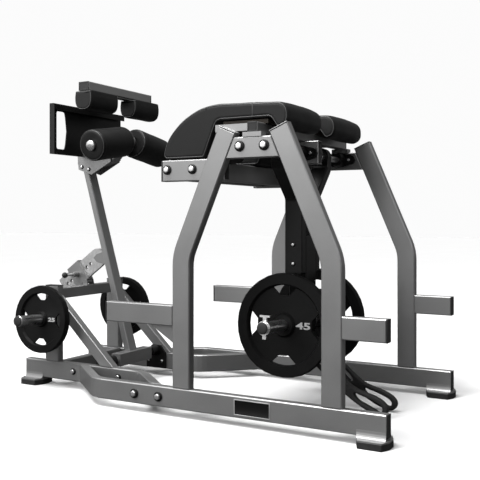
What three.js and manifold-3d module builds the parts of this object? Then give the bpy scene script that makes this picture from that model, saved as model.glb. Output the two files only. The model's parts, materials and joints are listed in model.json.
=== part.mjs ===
import * as THREE from 'three';
import { mergeVertices } from 'three/addons/utils/BufferGeometryUtils.js';
import Module from 'manifold-3d';

const wasm = await Module();
wasm.setup();

// Reverse hyperextension machine with an adjustable foot end.
// All sizes are in millimetres. X runs along the machine towards the leg end, Z is up.
// The pendulum pivot is over x = 0 here, and the whole part is moved at the end
// so that its origin is the middle of its footprint on the floor.

// Shared clearances and steel tube sizes
const gap = 0.3;
const overrun = 60;
const tubeWall = 3;
const tubeEdge = 4;
const tubeSide = 42;
const tubeTall = 84;
const railTall = 87;
const capThick = 4;
const plateThick = 6;
const bendSteps = 4;
const edgeSteps = 1;
const cushionSteps = 3;
const windowSteps = 2;
const footSteps = 5;

// Base rails
const railOuterY = 482;
const railInnerY = 262;
const railFrontX = 558;
const railRearX = 1430;
const footHeight = 36;
const outerBendX = 805;
const outerBendAngle = 40;
const innerBendX = 713;
const innerBendAngle = 42;
const railBendRadius = 120;
const footFrontOverhang = 9;
const footRearOverhang = 11;
const footLength = 128;
const footCorner = 18;
const footPlateThick = 6;
const footPlateTop = 30;
const footReach = 42;
const footRim = 28;
const saddleTop = 58;
const saddleLip = 1.5;
const rearBaseTubeX = 1219;

// Rear uprights, their cross tube and their braces
const uprightX = 1258;
const uprightTop = 498;
const rearTubeX = 1246;
const rearTubeZ = 460;
const rearTubeTall = 54;
const braceWidth = 54;
const braceUpperZ = 414;
const braceLowerX = 908;

// A-frame legs, head tubes and pegs
const legFootX = 339;
const legBendZ = 677;
const legTopX = 116;
const legTopZ = 1195;
const legBendRadius = 200;
const headTubeZ = 1120;
const pegZ = 426.5;
const pegTall = 87;
const frontPegEnd = 554;
const rearPegEnd = 733;
const gussetLength = 131;
const gussetDrop = 80;

// Pad frame under the hip pads
const padBeamTall = 90;
const padBeamTop = 1084;
const padBeamRearX = 462;
const padBeamFrontX = 150;
const padTubeXs = { rear: 434, front: 307 };
const boardThick = 17.4;
const boardRearX = 180;
const boardFrontX = 30;
const boardInnerY = 76;
const sideBracketRearX = 194;
const sideBracketTall = 30;
const sideBracketReach = 62;
const hangerLength = 172;

// Hip pads: an outline in shares of these sizes
const hipPadInnerY = 69;
const hipPadOuterY = 417;
const hipPadRearX = 482;
const hipPadFrontX = 130;
const hipPadBottom = 1086;
const hipPadTop = 1321;
const hipPadCorner = 26;
const hipSeamX = 33;
const hipPadEdge = 16;
const hipPadCrown = 5;
const seamDepth = 5;
const seamHalfWidth = 4;
const padSeat = 1240;

// Pendulum
const pivotZ = 1126;
const armWide = 84;
const armThick = 42;
const armLowerY = 76;
const armUpperY = 216;
const armBendLowZ = 930;
const armBendHighZ = 1070;
const armBottom = 595;
const armBendRadius = 45;
const columnBottom = 330;
const columnTop = 760;
const columnTubeWall = 5;
const shaftRadius = 15;
const bearingDepth = 42;
const flangeThick = 14;
const flangeEndRadius = 23;
const flangeBossRadius = 38;
const flangeBossTop = 30;
const boltSpread = 55;
const shaftCollarRadius = 24;
const shaftCollarLength = 18;

// Weight sleeves, plates and collars
const sleeveZ = 371;
const sleeveTilt = 3;
const sleeveRadius = 25;
const sleeveLength = 331;
const sleeveFlangeRadius = 44;
const sleeveFlangeThick = 8;
const sleeveCapThick = 6;
const heavyPlateRadius = 225;
const heavyPlateThick = 40;
const heavyPlateStart = 110;
const lightPlateRadius = 166.5;
const lightPlateThick = 34;
const lightPlateStart = 50;
const collarStart = 300;
const collarWide = 26;
const collarRadius = 30;
const collarTabTall = 14;
const collarTabWide = 16;
const collarGripWide = 46;
const hornZ = 336;
const hornLength = 223;

// Strap bar and foot straps
const strapBarX = 40;
const strapBarZ = 272;
const strapBarRadius = 12;
const strapStopRadius = 20;
const strapStopThick = 4;
const strapY = 60;
const strapWide = 28;
const strapSlope = 35.5;
const strapLength = 452;
const strapHeight = 88;
const strapEdge = 5;

// Foot post with its pivot tube, and the adjuster bar behind it
const postPivotX = 955;
const postPivotZ = 133.5;
const postSlopeShare = 0.2924;
const postTop = 1110;
const postThick = 34;
const postWide = 64;
const pivotTubeLong = 55;
const pivotTubeTall = 60;
const pivotTubeHalf = 131;
const postBossInner = 150;
const postBossRadius = 27;
const postFlangeThick = 12;
const postFlangeLong = 120;
const barHingeX = 1176;
const barHingeZ = 628.5;
const barSlope = 35.5;
const barWide = 100;
const barThick = 16;
const barLength = 287;
const barPinRadius = 8;
const barHoleRadius = 10;
const barHolePitch = 32;
const barHoleCount = 7;
const barHolesAbove = 3;
const hingeEarThick = 6;
const hingeEarRadius = 20;
const clampCentre = 151;
const clampLength = 90;
const clampSlotGap = 2.5;
const clampWallThick = 6;
const clampWide = 44;
const clampPinX = 1244;
const clampPinZ = 503.7;
const clampLugRadius = 12;
const clampPinRadius = 6;
const pinRadius = 7;
const pinBossRadius = 14;
const pinBossLength = 38;
const pinReach = 96;
const knobRadius = 15;

// Foot head: side plates, mast, footplate, pads and rollers
const headPlateFrontX = 1064;
const headPlateBottom = 1064;
const headPlateLong = 220;
const headPlateTall = 107;
const headPlateShares = [[1, 1], [0.964, 0.262], [0.573, 0], [0, 0.598], [0, 0.804]];
const rollerArmRearX = 1186;
const rollerArmRearZ = 1112;
const rollerArmBendX = 1072;
const rollerArmBendZ = 1146;
const mastThick = 40;
const mastBottom = 1122;
const mastBendZ = 1441;
const mastEndZ = 1482;
const mastBendRadius = 28;
const footplateX = 1253;
const footplateThick = 5;
const footplateHalf = 281;
const footplateBottom = 1158;
const footplateTop = 1409;
const footplateLip = 31;
const windowInnerY = 151;
const windowOuterY = 236;
const windowBottom = 1186;
const windowTop = 1376;
const windowBulge = 26;
const windowCorner = 10;
const windowBulgeRadius = 260;
const padBarX = 1053;
const padBarLong = 62;
const padBarTall = 44;
const padBarHalf = 256;
const padBarZ = 1482;
const padStripThick = 4.4;
const padStripLong = 46;
const footPadX = 1037.5;
const footPadLong = 105;
const footPadTall = 93;
const footPadInnerY = 70;
const footPadOuterY = 284;
const footPadEdge = 12;
const rollerX = 980;
const rollerZ = 1232;
const rollerTilt = 9;
const rollerRadius = 76;
const rollerStart = 42;
const rollerLength = 248;
const rollerEdge = 14;
const rollerSeamDepth = 3;
const rollerSeamInset = 34;
const rollerAxleRadius = 12;
const rollerHubRadius = 26;
const rollerEndRadius = 24;
const rollerEndThick = 10;

// Colours, taken from the photograph
const framePaint = new THREE.MeshStandardMaterial({ color: 0x9a9c9e, roughness: 0.42, metalness: 0.75 });
const blackPaint = new THREE.MeshStandardMaterial({ color: 0x17181a, roughness: 0.45, metalness: 0.5 });
const vinyl = new THREE.MeshStandardMaterial({ color: 0x1b1c1e, roughness: 0.5, metalness: 0 });
const rubber = new THREE.MeshStandardMaterial({ color: 0x161616, roughness: 0.85, metalness: 0 });
const plastic = new THREE.MeshStandardMaterial({ color: 0x1d1e20, roughness: 0.6, metalness: 0 });
const chrome = new THREE.MeshStandardMaterial({ color: 0xd5d7da, roughness: 0.15, metalness: 1 });
const zinc = new THREE.MeshStandardMaterial({ color: 0xb9bcc0, roughness: 0.4, metalness: 0.9 });
const castIron = new THREE.MeshStandardMaterial({ color: 0x141517, roughness: 0.6, metalness: 0.3 });
const webbing = new THREE.MeshStandardMaterial({ color: 0x202123, roughness: 0.9, metalness: 0 });
const plywood = new THREE.MeshStandardMaterial({ color: 0x4a4238, roughness: 0.8, metalness: 0 });

// Places worked out from the sizes above
const railBottom = footHeight;
const railTop = railBottom + railTall;
const footFrontX = railFrontX + footFrontOverhang;
const footRearX = railRearX + footRearOverhang;
const outerRailMid = railOuterY - tubeSide / 2;
const innerRailMid = railInnerY - tubeSide / 2;
const outerRailInnerFace = railOuterY - tubeSide;
const innerRailInnerFace = railInnerY - tubeSide;
const legInnerY = railOuterY - tubeSide;
const legSlope = (legFootX - legTopX) / (legTopZ - legBendZ);
const legLean = Math.atan(legSlope);
const headTubeTop = headTubeZ + tubeTall / 2;
const hangerBottom = headTubeZ - tubeTall / 2;
const padBeamOuter = legInnerY - gap;
const padBeamInner = padBeamOuter - tubeSide;
const padTubeZ = hipPadBottom - gap - tubeTall / 2;
const frontBeamTop = padSeat - gap - boardThick - gap;
const frontBeamBottom = frontBeamTop - tubeSide;
const sides = [['near', -1], ['far', 1]];
const originX = (footRearX - footFrontX) / 2;

const part = new THREE.Group();
part.position.x = originX;

// Turning geometries into solids and back
function bareGeometry(geometry) {
  const bare = geometry.clone();
  bare.deleteAttribute('normal');
  bare.deleteAttribute('uv');
  const merged = mergeVertices(bare);
  const places = merged.attributes.position.array;
  const index = merged.index.array;
  const kept = [];
  let volume = 0;
  for (let i = 0; i < index.length; i += 3) {
    const [a, b, c] = [index[i], index[i + 1], index[i + 2]];
    if (a !== b && b !== c && c !== a) {
      kept.push(a, b, c);
      const corners = [a, b, c].map((k) => new THREE.Vector3().fromArray(places, 3 * k));
      volume += corners[0].dot(corners[1].cross(corners[2]));
    }
  }
  if (volume < 0) {
    kept.reverse();
  }
  merged.setIndex(kept);
  return merged;
}

function solid(geometry) {
  const bare = bareGeometry(geometry);
  const vertProperties = bare.attributes.position.array;
  const triVerts = new Uint32Array(bare.index.array);
  return new wasm.Manifold(new wasm.Mesh({ numProp: 3, vertProperties, triVerts }));
}

function geometryOf(shape) {
  const mesh = shape.getMesh();
  const geometry = new THREE.BufferGeometry();
  const places = new THREE.BufferAttribute(new Float32Array(mesh.vertProperties), 3);
  geometry.setAttribute('position', places);
  geometry.setIndex(Array.from(mesh.triVerts));
  return geometry;
}

function join(...geometries) {
  return geometryOf(geometries.map(solid).reduce((whole, piece) => whole.add(piece)));
}

function cut(geometry, ...tools) {
  return geometryOf(tools.map(solid).reduce((whole, tool) => whole.subtract(tool), solid(geometry)));
}

function common(geometry, other) {
  return geometryOf(solid(geometry).intersect(solid(other)));
}

function addPiece(name, geometry, material, parent = part) {
  const bare = bareGeometry(geometry);
  bare.computeVertexNormals();
  const mesh = new THREE.Mesh(bare, material);
  mesh.name = name;
  parent.add(mesh);
  return mesh;
}

// Outlines laid along an axis: (x, z) along Y, (y, z) along X and (x, y) along Z
function extrude(outline, depth, edge) {
  const shape = new THREE.Shape(outline.map(([a, b]) => new THREE.Vector2(a, b)));
  const geometry = new THREE.ExtrudeGeometry(shape, {
    depth: depth - 2 * edge,
    steps: 1,
    bevelEnabled: edge > 0,
    bevelThickness: edge,
    bevelSize: edge,
    bevelOffset: -edge,
    bevelSegments: edgeSteps,
  });
  return geometry.translate(0, 0, edge);
}

function alongZ(outline, low, high, edge = 0) {
  return extrude(outline, high - low, edge).translate(0, 0, low);
}

function alongY(outline, low, high, edge = 0) {
  const turned = extrude(outline, high - low, edge).rotateX(Math.PI / 2);
  return turned.translate(0, high, 0);
}

function alongX(outline, low, high, edge = 0) {
  const shifted = extrude(outline, high - low, edge).translate(0, 0, low);
  const turn = new THREE.Matrix4().set(0, 0, 1, 0, 1, 0, 0, 0, 0, 1, 0, 0, 0, 0, 0, 1);
  return shifted.applyMatrix4(turn);
}

// A span given by its distances from the middle plane, laid on one side of it
function onSide(side, inner, outer) {
  return side < 0 ? [-outer, -inner] : [inner, outer];
}

function box(x0, x1, y0, y1, z0, z1) {
  const size = [x1 - x0, y1 - y0, z1 - z0];
  return new THREE.BoxGeometry(...size).translate((x0 + x1) / 2, (y0 + y1) / 2, (z0 + z1) / 2);
}

// Paths with rounded corners, and the outline of a band along a path
function unit(from, to) {
  const [a, b] = [to[0] - from[0], to[1] - from[1]];
  const length = Math.hypot(a, b);
  return [a / length, b / length];
}

function roundedPath(points, radius, steps = bendSteps) {
  const path = [points[0]];
  for (let i = 1; i < points.length - 1; i += 1) {
    const bend = points[i][2] ?? radius;
    if (bend === 0) {
      path.push(points[i]);
      continue;
    }
    const back = unit(points[i], points[i - 1]);
    const ahead = unit(points[i], points[i + 1]);
    const half = Math.acos(back[0] * ahead[0] + back[1] * ahead[1]) / 2;
    const reach = bend / Math.tan(half);
    const mid = unit([0, 0], [back[0] + ahead[0], back[1] + ahead[1]]);
    const far = bend / Math.sin(half);
    const centre = [points[i][0] + mid[0] * far, points[i][1] + mid[1] * far];
    const first = [points[i][0] + back[0] * reach, points[i][1] + back[1] * reach];
    const last = [points[i][0] + ahead[0] * reach, points[i][1] + ahead[1] * reach];
    const start = Math.atan2(first[1] - centre[1], first[0] - centre[0]);
    let sweep = Math.atan2(last[1] - centre[1], last[0] - centre[0]) - start;
    sweep -= 2 * Math.PI * Math.round(sweep / (2 * Math.PI));
    for (let k = 0; k <= steps; k += 1) {
      const angle = start + (sweep * k) / steps;
      path.push([centre[0] + bend * Math.cos(angle), centre[1] + bend * Math.sin(angle)]);
    }
  }
  path.push(points[points.length - 1]);
  return path;
}

function bandOutline(path, half, startCut = null, endCut = null) {
  const left = [];
  const right = [];
  const last = path.length - 1;
  path.forEach((point, i) => {
    const before = unit(path[Math.max(i - 1, 0)], path[Math.max(i, 1)]);
    const after = unit(path[Math.min(i, last - 1)], path[Math.min(i + 1, last)]);
    const normal = [-before[1], before[0]];
    let across = [-before[1] - after[1], before[0] + after[0]];
    if (i === 0 && startCut) {
      across = startCut;
    }
    if (i === last && endCut) {
      across = endCut;
    }
    const scale = half / (across[0] * normal[0] + across[1] * normal[1]);
    left.push([point[0] + across[0] * scale, point[1] + across[1] * scale]);
    right.push([point[0] - across[0] * scale, point[1] - across[1] * scale]);
  });
  return [...left, ...right.reverse()];
}

function lengthened(path) {
  const last = path.length - 1;
  const start = unit(path[1], path[0]);
  const end = unit(path[last - 1], path[last]);
  const first = [path[0][0] + start[0] * overrun, path[0][1] + start[1] * overrun];
  const final = [path[last][0] + end[0] * overrun, path[last][1] + end[1] * overrun];
  return [first, ...path.slice(1, last), final];
}

// A rectangular steel tube with rounded long edges, open at both ends
function tube(lay, path, wide, low, high, startCut = null, endCut = null, wall = tubeWall) {
  const outer = lay(bandOutline(path, wide / 2, startCut, endCut), low, high, tubeEdge);
  const bore = lay(bandOutline(lengthened(path), wide / 2 - wall), low + wall, high - wall);
  return cut(outer, bore);
}

function circle(a, b, radius, steps) {
  const points = [];
  for (let i = 0; i < steps; i += 1) {
    const angle = (2 * Math.PI * i) / steps;
    points.push([a + radius * Math.cos(angle), b + radius * Math.sin(angle)]);
  }
  return points;
}

// A round body turned about Y, its profile given as [radius, distance along Y]
function turned(profile, steps) {
  return new THREE.LatheGeometry(profile.map(([r, h]) => new THREE.Vector2(r, h)), steps);
}

function rod(radius, low, high, steps) {
  return turned([[0, low], [radius, low], [radius, high], [0, high]], steps);
}

// A facetted hole of this radius clears a round shaft of the same number of sides
function holeRadius(radius, steps) {
  return (radius + gap) / Math.cos(Math.PI / steps);
}

function moved(geometry, x, y, z) {
  return geometry.clone().translate(x, y, z);
}

const boltSteps = 10;

// Base rails: the outer one bends in to the inner one, and the inner one bends out to it
const outerTan = Math.tan(THREE.MathUtils.degToRad(outerBendAngle));
const innerTan = Math.tan(THREE.MathUtils.degToRad(innerBendAngle));
const outerRailEnd = railInnerY + gap;
const innerRailEnd = outerRailInnerFace - gap;
const footPlateBottom = footPlateTop - footPlateThick;

// Outline of a foot seen from above, with its outer corners cut off
function footPlan(tip, end, mid) {
  const back = tip - end * footLength;
  const waist = tubeSide / 2 + saddleLip;
  const reach = tubeSide / 2 + footReach;
  const edge = [
    [tip, waist],
    [tip - end * footCorner, reach],
    [back + end * footCorner, reach],
    [back, waist],
  ];
  const mirrored = edge.map(([x, y]) => [x, mid - y]).reverse();
  return [...edge.map(([x, y]) => [x, mid + y]), ...mirrored];
}

// A steel foot: a flat plate and a saddle that sweeps up from it to both faces of the rail
function footPlate(tip, railEnd, end, mid) {
  const plan = footPlan(tip, end, mid);
  const seat = tubeSide / 2 - tubeWall / 2;
  const root = tubeSide / 2 + footReach - footRim;
  const sweep = [];
  for (let i = 0; i <= footSteps; i += 1) {
    const angle = (Math.PI / 2) * (i / footSteps);
    sweep.push([
      root - (root - tubeSide / 2 - saddleLip) * Math.sin(angle),
      saddleTop - (saddleTop - footPlateTop) * Math.cos(angle),
    ]);
  }
  const edge = [
    [root, footPlateTop - tubeWall / 2],
    ...sweep,
    [seat, saddleTop],
    [seat, footHeight + tubeWall / 2],
  ];
  const section = [
    ...edge.map(([y, z]) => [mid + y, z]),
    ...edge.map(([y, z]) => [mid - y, z]).reverse(),
  ];
  const span = [railEnd, tip - end * footLength].sort((a, b) => a - b);
  const saddle = common(alongX(section, ...span), alongZ(plan, 0, saddleTop + overrun));
  return join(alongZ(plan, footPlateBottom, footPlateTop), saddle);
}
for (const [name, side] of sides) {
  const outerPath = roundedPath([
    [railFrontX - capThick - gap, side * outerRailMid],
    [-outerBendX, side * outerRailMid],
    [-outerBendX - (outerRailMid - outerRailEnd) / outerTan, side * outerRailEnd],
  ], railBendRadius);
  const outer = tube(alongZ, outerPath, tubeSide, railBottom, railTop, null, [side, 0]);
  const frontPlate = footPlate(footFrontX, railFrontX - capThick - gap, 1, side * outerRailMid);
  addPiece(`outer_rail_${name}`, join(outer, frontPlate), framePaint);
  const innerPath = roundedPath([
    [-railRearX + capThick + gap, side * innerRailMid],
    [-innerBendX, side * innerRailMid],
    [-innerBendX + (innerRailEnd - innerRailMid) / innerTan, side * innerRailEnd],
  ], railBendRadius);
  const inner = tube(alongZ, innerPath, tubeSide, railBottom, railTop, null, [-side, 0]);
  const rearPlate = footPlate(-footRearX, -railRearX + capThick + gap, -1, side * innerRailMid);
  addPiece(`inner_rail_${name}`, join(inner, rearPlate), framePaint);
}

// Straight tube across the machine, between two inner faces
function crossTube(x, long, z, tall, half) {
  const path = [[-half, z], [half, z]];
  return tube(alongX, path, tall, x - long / 2, x + long / 2);
}

const rearHalf = innerRailInnerFace - gap;
const rearBase = crossTube(-rearBaseTubeX, tubeSide, railBottom + railTall / 2, railTall, rearHalf);
addPiece('rear_base_tube', rearBase, framePaint);

// Rear uprights, each with its diagonal brace welded on, on the inner rails
const braceUpper = [-uprightX + tubeTall / 2 - tubeWall / 2, braceUpperZ];
const braceLower = [-braceLowerX, railTop + gap];
for (const [name, side] of sides) {
  const [low, high] = onSide(side, innerRailInnerFace, railInnerY);
  const upright = tube(alongY, [[-uprightX, railTop + gap], [-uprightX, uprightTop]], tubeTall, low, high);
  const brace = tube(alongY, [braceUpper, braceLower], braceWidth, low, high, [0, 1], [1, 0]);
  addPiece(`rear_upright_${name}`, join(upright, brace), framePaint);
}

// Rear cross tube with the two ears that carry the adjuster clamp
const clampPinSeat = holeRadius(clampPinRadius, boltSteps);
const rearTubeTop = rearTubeZ + rearTubeTall / 2;
const earInner = clampWide / 2 + gap;
const clampEars = sides.map(([, side]) => {
  const [low, high] = onSide(side, earInner, earInner + hingeEarThick);
  const outline = [
    [-rearTubeX - clampLugRadius, rearTubeTop - tubeWall / 2],
    [-rearTubeX + tubeSide / 2, rearTubeTop - tubeWall / 2],
    [-clampPinX + clampLugRadius, clampPinZ + clampLugRadius],
    [-clampPinX - clampLugRadius, clampPinZ + clampLugRadius],
  ];
  const seat = rod(clampPinSeat, low - overrun, high + overrun, boltSteps);
  return cut(alongY(outline, low, high), moved(seat, -clampPinX, 0, clampPinZ));
});
const rearTop = crossTube(-rearTubeX, tubeSide, rearTubeZ, rearTubeTall, rearHalf);
addPiece('rear_top_tube', join(rearTop, ...clampEars), framePaint);

// A-frame legs, leaning in above their bend, each with its peg and the rear ones with a gusset
const legBottom = railTop + gap;
const legOuterX = legFootX + tubeTall / 2;
const pegStart = legOuterX - tubeWall / 2;
for (const [name, side] of sides) {
  const [low, high] = onSide(side, legInnerY, railOuterY);
  for (const [place, end, pegEnd] of [['rear', -1, rearPegEnd], ['front', 1, frontPegEnd]]) {
    const path = roundedPath([
      [end * legFootX, legBottom],
      [end * legFootX, legBendZ],
      [end * legTopX, legTopZ],
    ], legBendRadius);
    const pieces = [tube(alongY, path, tubeTall, low, high)];
    pieces.push(tube(alongY, [[end * pegStart, pegZ], [end * pegEnd, pegZ]], pegTall, low, high));
    if (end < 0) {
      const gussetTop = pegZ - pegTall / 2 + tubeWall / 2;
      const gussetMid = side * outerRailMid;
      pieces.push(alongY([
        [-pegStart, gussetTop],
        [-pegStart - gussetLength, gussetTop],
        [-pegStart, gussetTop - gussetDrop],
      ], gussetMid - plateThick / 2, gussetMid + plateThick / 2));
    }
    addPiece(`leg_${place}_${name}`, join(...pieces), framePaint);
  }
}

// Head tubes cut to the lean of the legs
function legInnerFace(z) {
  return legFootX - (z - legBendZ) * legSlope - tubeTall / 2 / Math.cos(legLean);
}
const headEnd = legInnerFace(headTubeZ) - gap / Math.cos(legLean);
for (const [name, side] of sides) {
  const [low, high] = onSide(side, legInnerY, railOuterY);
  const path = [[-headEnd, headTubeZ], [headEnd, headTubeZ]];
  const head = tube(alongY, path, tubeTall, low, high, [legSlope, 1], [-legSlope, 1]);
  addPiece(`head_tube_${name}`, head, framePaint);
}

// Beams beside the hip pads and the tubes across between them
const padBeamZ = padBeamTop - padBeamTall / 2;
for (const [name, side] of sides) {
  const [low, high] = onSide(side, padBeamInner, padBeamOuter);
  const beam = tube(alongY, [[-padBeamRearX, padBeamZ], [-padBeamFrontX, padBeamZ]], padBeamTall, low, high);
  addPiece(`pad_beam_${name}`, beam, framePaint);
}
for (const [place, x] of Object.entries(padTubeXs)) {
  const across = crossTube(-x, tubeSide, padTubeZ, tubeTall, padBeamInner - gap);
  addPiece(`pad_cross_tube_${place}`, across, framePaint);
}

// Pad carrier: a cross beam on two risers, angles for the boards and the hanger of the middle bearings
const shaftSteps = 16;
const shaftHole = holeRadius(shaftRadius, shaftSteps);
const weldDepth = tubeWall / 2;
const frontBeam = crossTube(0, tubeSide, frontBeamTop - tubeSide / 2, tubeSide, railOuterY - capThick - gap);
const hangerTop = frontBeamBottom + weldDepth;
const hangerMid = (hangerTop + hangerBottom) / 2;
const hangerPath = [[-hangerLength / 2, hangerMid], [hangerLength / 2, hangerMid]];
const hangerTube = tube(alongY, hangerPath, hangerTop - hangerBottom, -tubeSide / 2, tubeSide / 2);
const shaftCut = moved(rod(shaftHole, -railOuterY, railOuterY, shaftSteps), 0, 0, pivotZ);
const carrier = [frontBeam, cut(hangerTube, shaftCut)];
for (const [, side] of sides) {
  const [low, high] = onSide(side, legInnerY, railOuterY);
  carrier.push(box(-tubeSide, tubeSide, low, high, headTubeTop + gap, frontBeamBottom + weldDepth));
  const outer = legInnerY - gap;
  const inner = outer - sideBracketReach;
  const profile = [
    [side * outer, frontBeamTop - sideBracketTall],
    [side * outer, frontBeamTop],
    [side * inner, frontBeamTop],
    [side * inner, frontBeamTop - plateThick],
    [side * (outer - plateThick), frontBeamTop - plateThick],
    [side * (outer - plateThick), frontBeamTop - sideBracketTall],
  ];
  carrier.push(alongX(profile, -sideBracketRearX, -tubeSide / 2 + weldDepth));
}
addPiece('pad_carrier', join(...carrier), framePaint);

// Plywood boards under the flat part of the cushions
for (const [name, side] of sides) {
  const [low, high] = onSide(side, boardInnerY, padBeamInner);
  const seat = frontBeamTop + gap;
  const board = box(-boardRearX, boardFrontX, low, high, seat, seat + boardThick);
  addPiece(`pad_board_${name}`, board, plywood);
}

// A cushion lofted across: crowned in the middle and drawn in at both side seams
function cushion(outline, low, high, edge, crown) {
  const stations = [];
  const edgeShares = [0, 0.3, 0.7, 1];
  for (const share of edgeShares) {
    const angle = (share * Math.PI) / 2;
    stations.push([low + edge * (1 - Math.cos(angle)), edge * (1 - Math.sin(angle))]);
  }
  const spanSteps = 4;
  for (let i = 1; i < spanSteps; i += 1) {
    stations.push([low + edge + ((high - low - 2 * edge) * i) / spanSteps, 0]);
  }
  for (const share of [...edgeShares].reverse()) {
    const angle = (share * Math.PI) / 2;
    stations.push([high - edge * (1 - Math.cos(angle)), edge * (1 - Math.sin(angle))]);
  }
  const count = outline.length;
  const middle = (low + high) / 2;
  const places = [];
  for (const [y, inset] of stations) {
    const reach = (2 * (y - middle)) / (high - low);
    const drawn = inset + crown * reach * reach;
    outline.forEach((point, i) => {
      const before = unit(outline[(i + count - 1) % count], point);
      const after = unit(point, outline[(i + 1) % count]);
      const across = [-before[1] - after[1], before[0] + after[0]];
      const scale = drawn / Math.hypot(...across);
      places.push(point[0] + across[0] * scale, y, point[1] + across[1] * scale);
    });
  }
  const index = [];
  for (let k = 0; k < stations.length - 1; k += 1) {
    for (let i = 0; i < count; i += 1) {
      const next = (i + 1) % count;
      const [a, b] = [k * count + i, k * count + next];
      index.push(a, b, a + count, b, b + count, a + count);
    }
  }
  const end = (stations.length - 1) * count;
  const ring = (first) => outline.map((point, i) => {
    const at = 3 * (first + i);
    return new THREE.Vector2(places[at], places[at + 2]);
  });
  for (const [a, b, c] of THREE.ShapeUtils.triangulateShape(ring(0), [])) {
    index.push(a, c, b);
  }
  for (const [a, b, c] of THREE.ShapeUtils.triangulateShape(ring(end), [])) {
    index.push(end + a, end + b, end + c);
  }
  const geometry = new THREE.BufferGeometry();
  geometry.setAttribute('position', new THREE.Float32BufferAttribute(places, 3));
  geometry.setIndex(index);
  return geometry;
}

// Hip pad outline, anticlockwise: corners in shares of its length, its height and its corner radius
const hipLength = hipPadRearX + hipPadFrontX;
const hipHeight = hipPadTop - hipPadBottom;
const seatShare = (padSeat - hipPadBottom) / hipHeight;
const hipCornerShares = {
  under: [[0.18, 0, 1], [0.36, 0, 1], [0.464, seatShare, 0.8], [0.861, seatShare, 0.8]],
  nose: [[0.915, 0.443, 1], [1.003, 0.536, 1.7], [0.999, 0.945, 2.1]],
  dome: [[0.436, 1, 14], [0.297, 0.923, 12], [0.142, 0.698, 11], [0.028, 0.366, 7], [-0.003, 0, 1]],
  close: [[0.18, 0, 1]],
};
function hipCorners(shares) {
  return shares.map(([along, up, bend]) => [
    -hipPadRearX + along * hipLength,
    hipPadBottom + up * hipHeight,
    bend * hipPadCorner,
  ]);
}
const hipOutline = roundedPath([
  ...hipCorners(hipCornerShares.under),
  ...hipCorners(hipCornerShares.nose),
  [-hipSeamX + seamHalfWidth, hipPadTop, 0],
  [-hipSeamX, hipPadTop - seamDepth, 0],
  [-hipSeamX - seamHalfWidth, hipPadTop, 0],
  ...hipCorners(hipCornerShares.dome),
  ...hipCorners(hipCornerShares.close),
], 0, cushionSteps).slice(1);
for (const [name, side] of sides) {
  const [low, high] = onSide(side, hipPadInnerY, hipPadOuterY);
  addPiece(`hip_pad_${name}`, cushion(hipOutline, low, high, hipPadEdge, hipPadCrown), vinyl);
}

// Flange bearings on the head tubes and on both faces of the hanger
function flangeOutline() {
  const points = [];
  const fanShares = [-0.5, -0.25, 0, 0.25, 0.5];
  for (const end of [1, -1]) {
    for (const share of fanShares) {
      const angle = (end > 0 ? 0 : Math.PI) + share * Math.PI;
      const x = end * (boltSpread + flangeEndRadius / 3) + flangeEndRadius * Math.cos(angle);
      points.push([x, pivotZ + flangeEndRadius * Math.sin(angle)]);
    }
    points.push([0, pivotZ + end * (flangeBossRadius + gap)]);
  }
  return points;
}
function flangeBearing(seat, away) {
  const ends = [seat, seat + away * flangeThick].sort((a, b) => a - b);
  const plate = alongY(flangeOutline(), ...ends);
  const boss = turned([
    [0, 0],
    [flangeBossRadius, 0],
    [flangeBossRadius, flangeThick],
    [flangeBossTop, bearingDepth],
    [0, bearingDepth],
  ], shaftSteps);
  if (away < 0) {
    boss.rotateX(Math.PI);
  }
  return cut(join(plate, moved(boss, 0, seat, pivotZ)), shaftCut);
}
for (const [name, side] of sides) {
  const outerSeat = side * (legInnerY - gap);
  addPiece(`bearing_outer_${name}`, flangeBearing(outerSeat, -side), blackPaint);
  const innerSeat = side * (tubeSide / 2 + gap);
  addPiece(`bearing_inner_${name}`, flangeBearing(innerSeat, side), blackPaint);
}

// Pendulum arms, round over the pivot
for (const [name, side] of sides) {
  const path = roundedPath([
    [side * armLowerY, armBottom],
    [side * armLowerY, armBendLowZ],
    [side * armUpperY, armBendHighZ],
    [side * armUpperY, pivotZ],
  ], armBendRadius);
  const lower = tube(alongX, path, armThick, -armWide / 2, armWide / 2);
  const [low, high] = onSide(side, armUpperY - armThick / 2, armUpperY + armThick / 2);
  const eye = alongY(circle(0, pivotZ, armWide / 2, shaftSteps), low, high);
  addPiece(`pendulum_arm_${name}`, cut(join(lower, eye), shaftCut), blackPaint);
}

// Lower column between the arms
const columnHalf = armLowerY - armThick / 2 - gap;
const columnPath = [[0, columnBottom], [0, columnTop]];
const columnSpan = [-armWide / 2, armWide / 2];
const column = tube(alongX, columnPath, 2 * columnHalf, ...columnSpan, null, null, columnTubeWall);
addPiece('pendulum_column', column, blackPaint);

// Pivot shaft with a collar on each side of each arm's eye
const eyeInner = armUpperY - armThick / 2 - gap;
const eyeOuter = armUpperY + armThick / 2 + gap;
const shaftEnd = legInnerY - 2 * gap;
const halfShaft = [
  [shaftRadius, eyeInner - shaftCollarLength],
  [shaftCollarRadius, eyeInner - shaftCollarLength],
  [shaftCollarRadius, eyeInner],
  [shaftRadius, eyeInner],
  [shaftRadius, eyeOuter],
  [shaftCollarRadius, eyeOuter],
  [shaftCollarRadius, eyeOuter + shaftCollarLength],
  [shaftRadius, eyeOuter + shaftCollarLength],
  [shaftRadius, shaftEnd],
  [0, shaftEnd],
];
const otherHalf = halfShaft.map(([radius, along]) => [radius, -along]).reverse();
addPiece('pivot_shaft', moved(turned([...otherHalf, ...halfShaft], shaftSteps), 0, 0, pivotZ), chrome);

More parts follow.
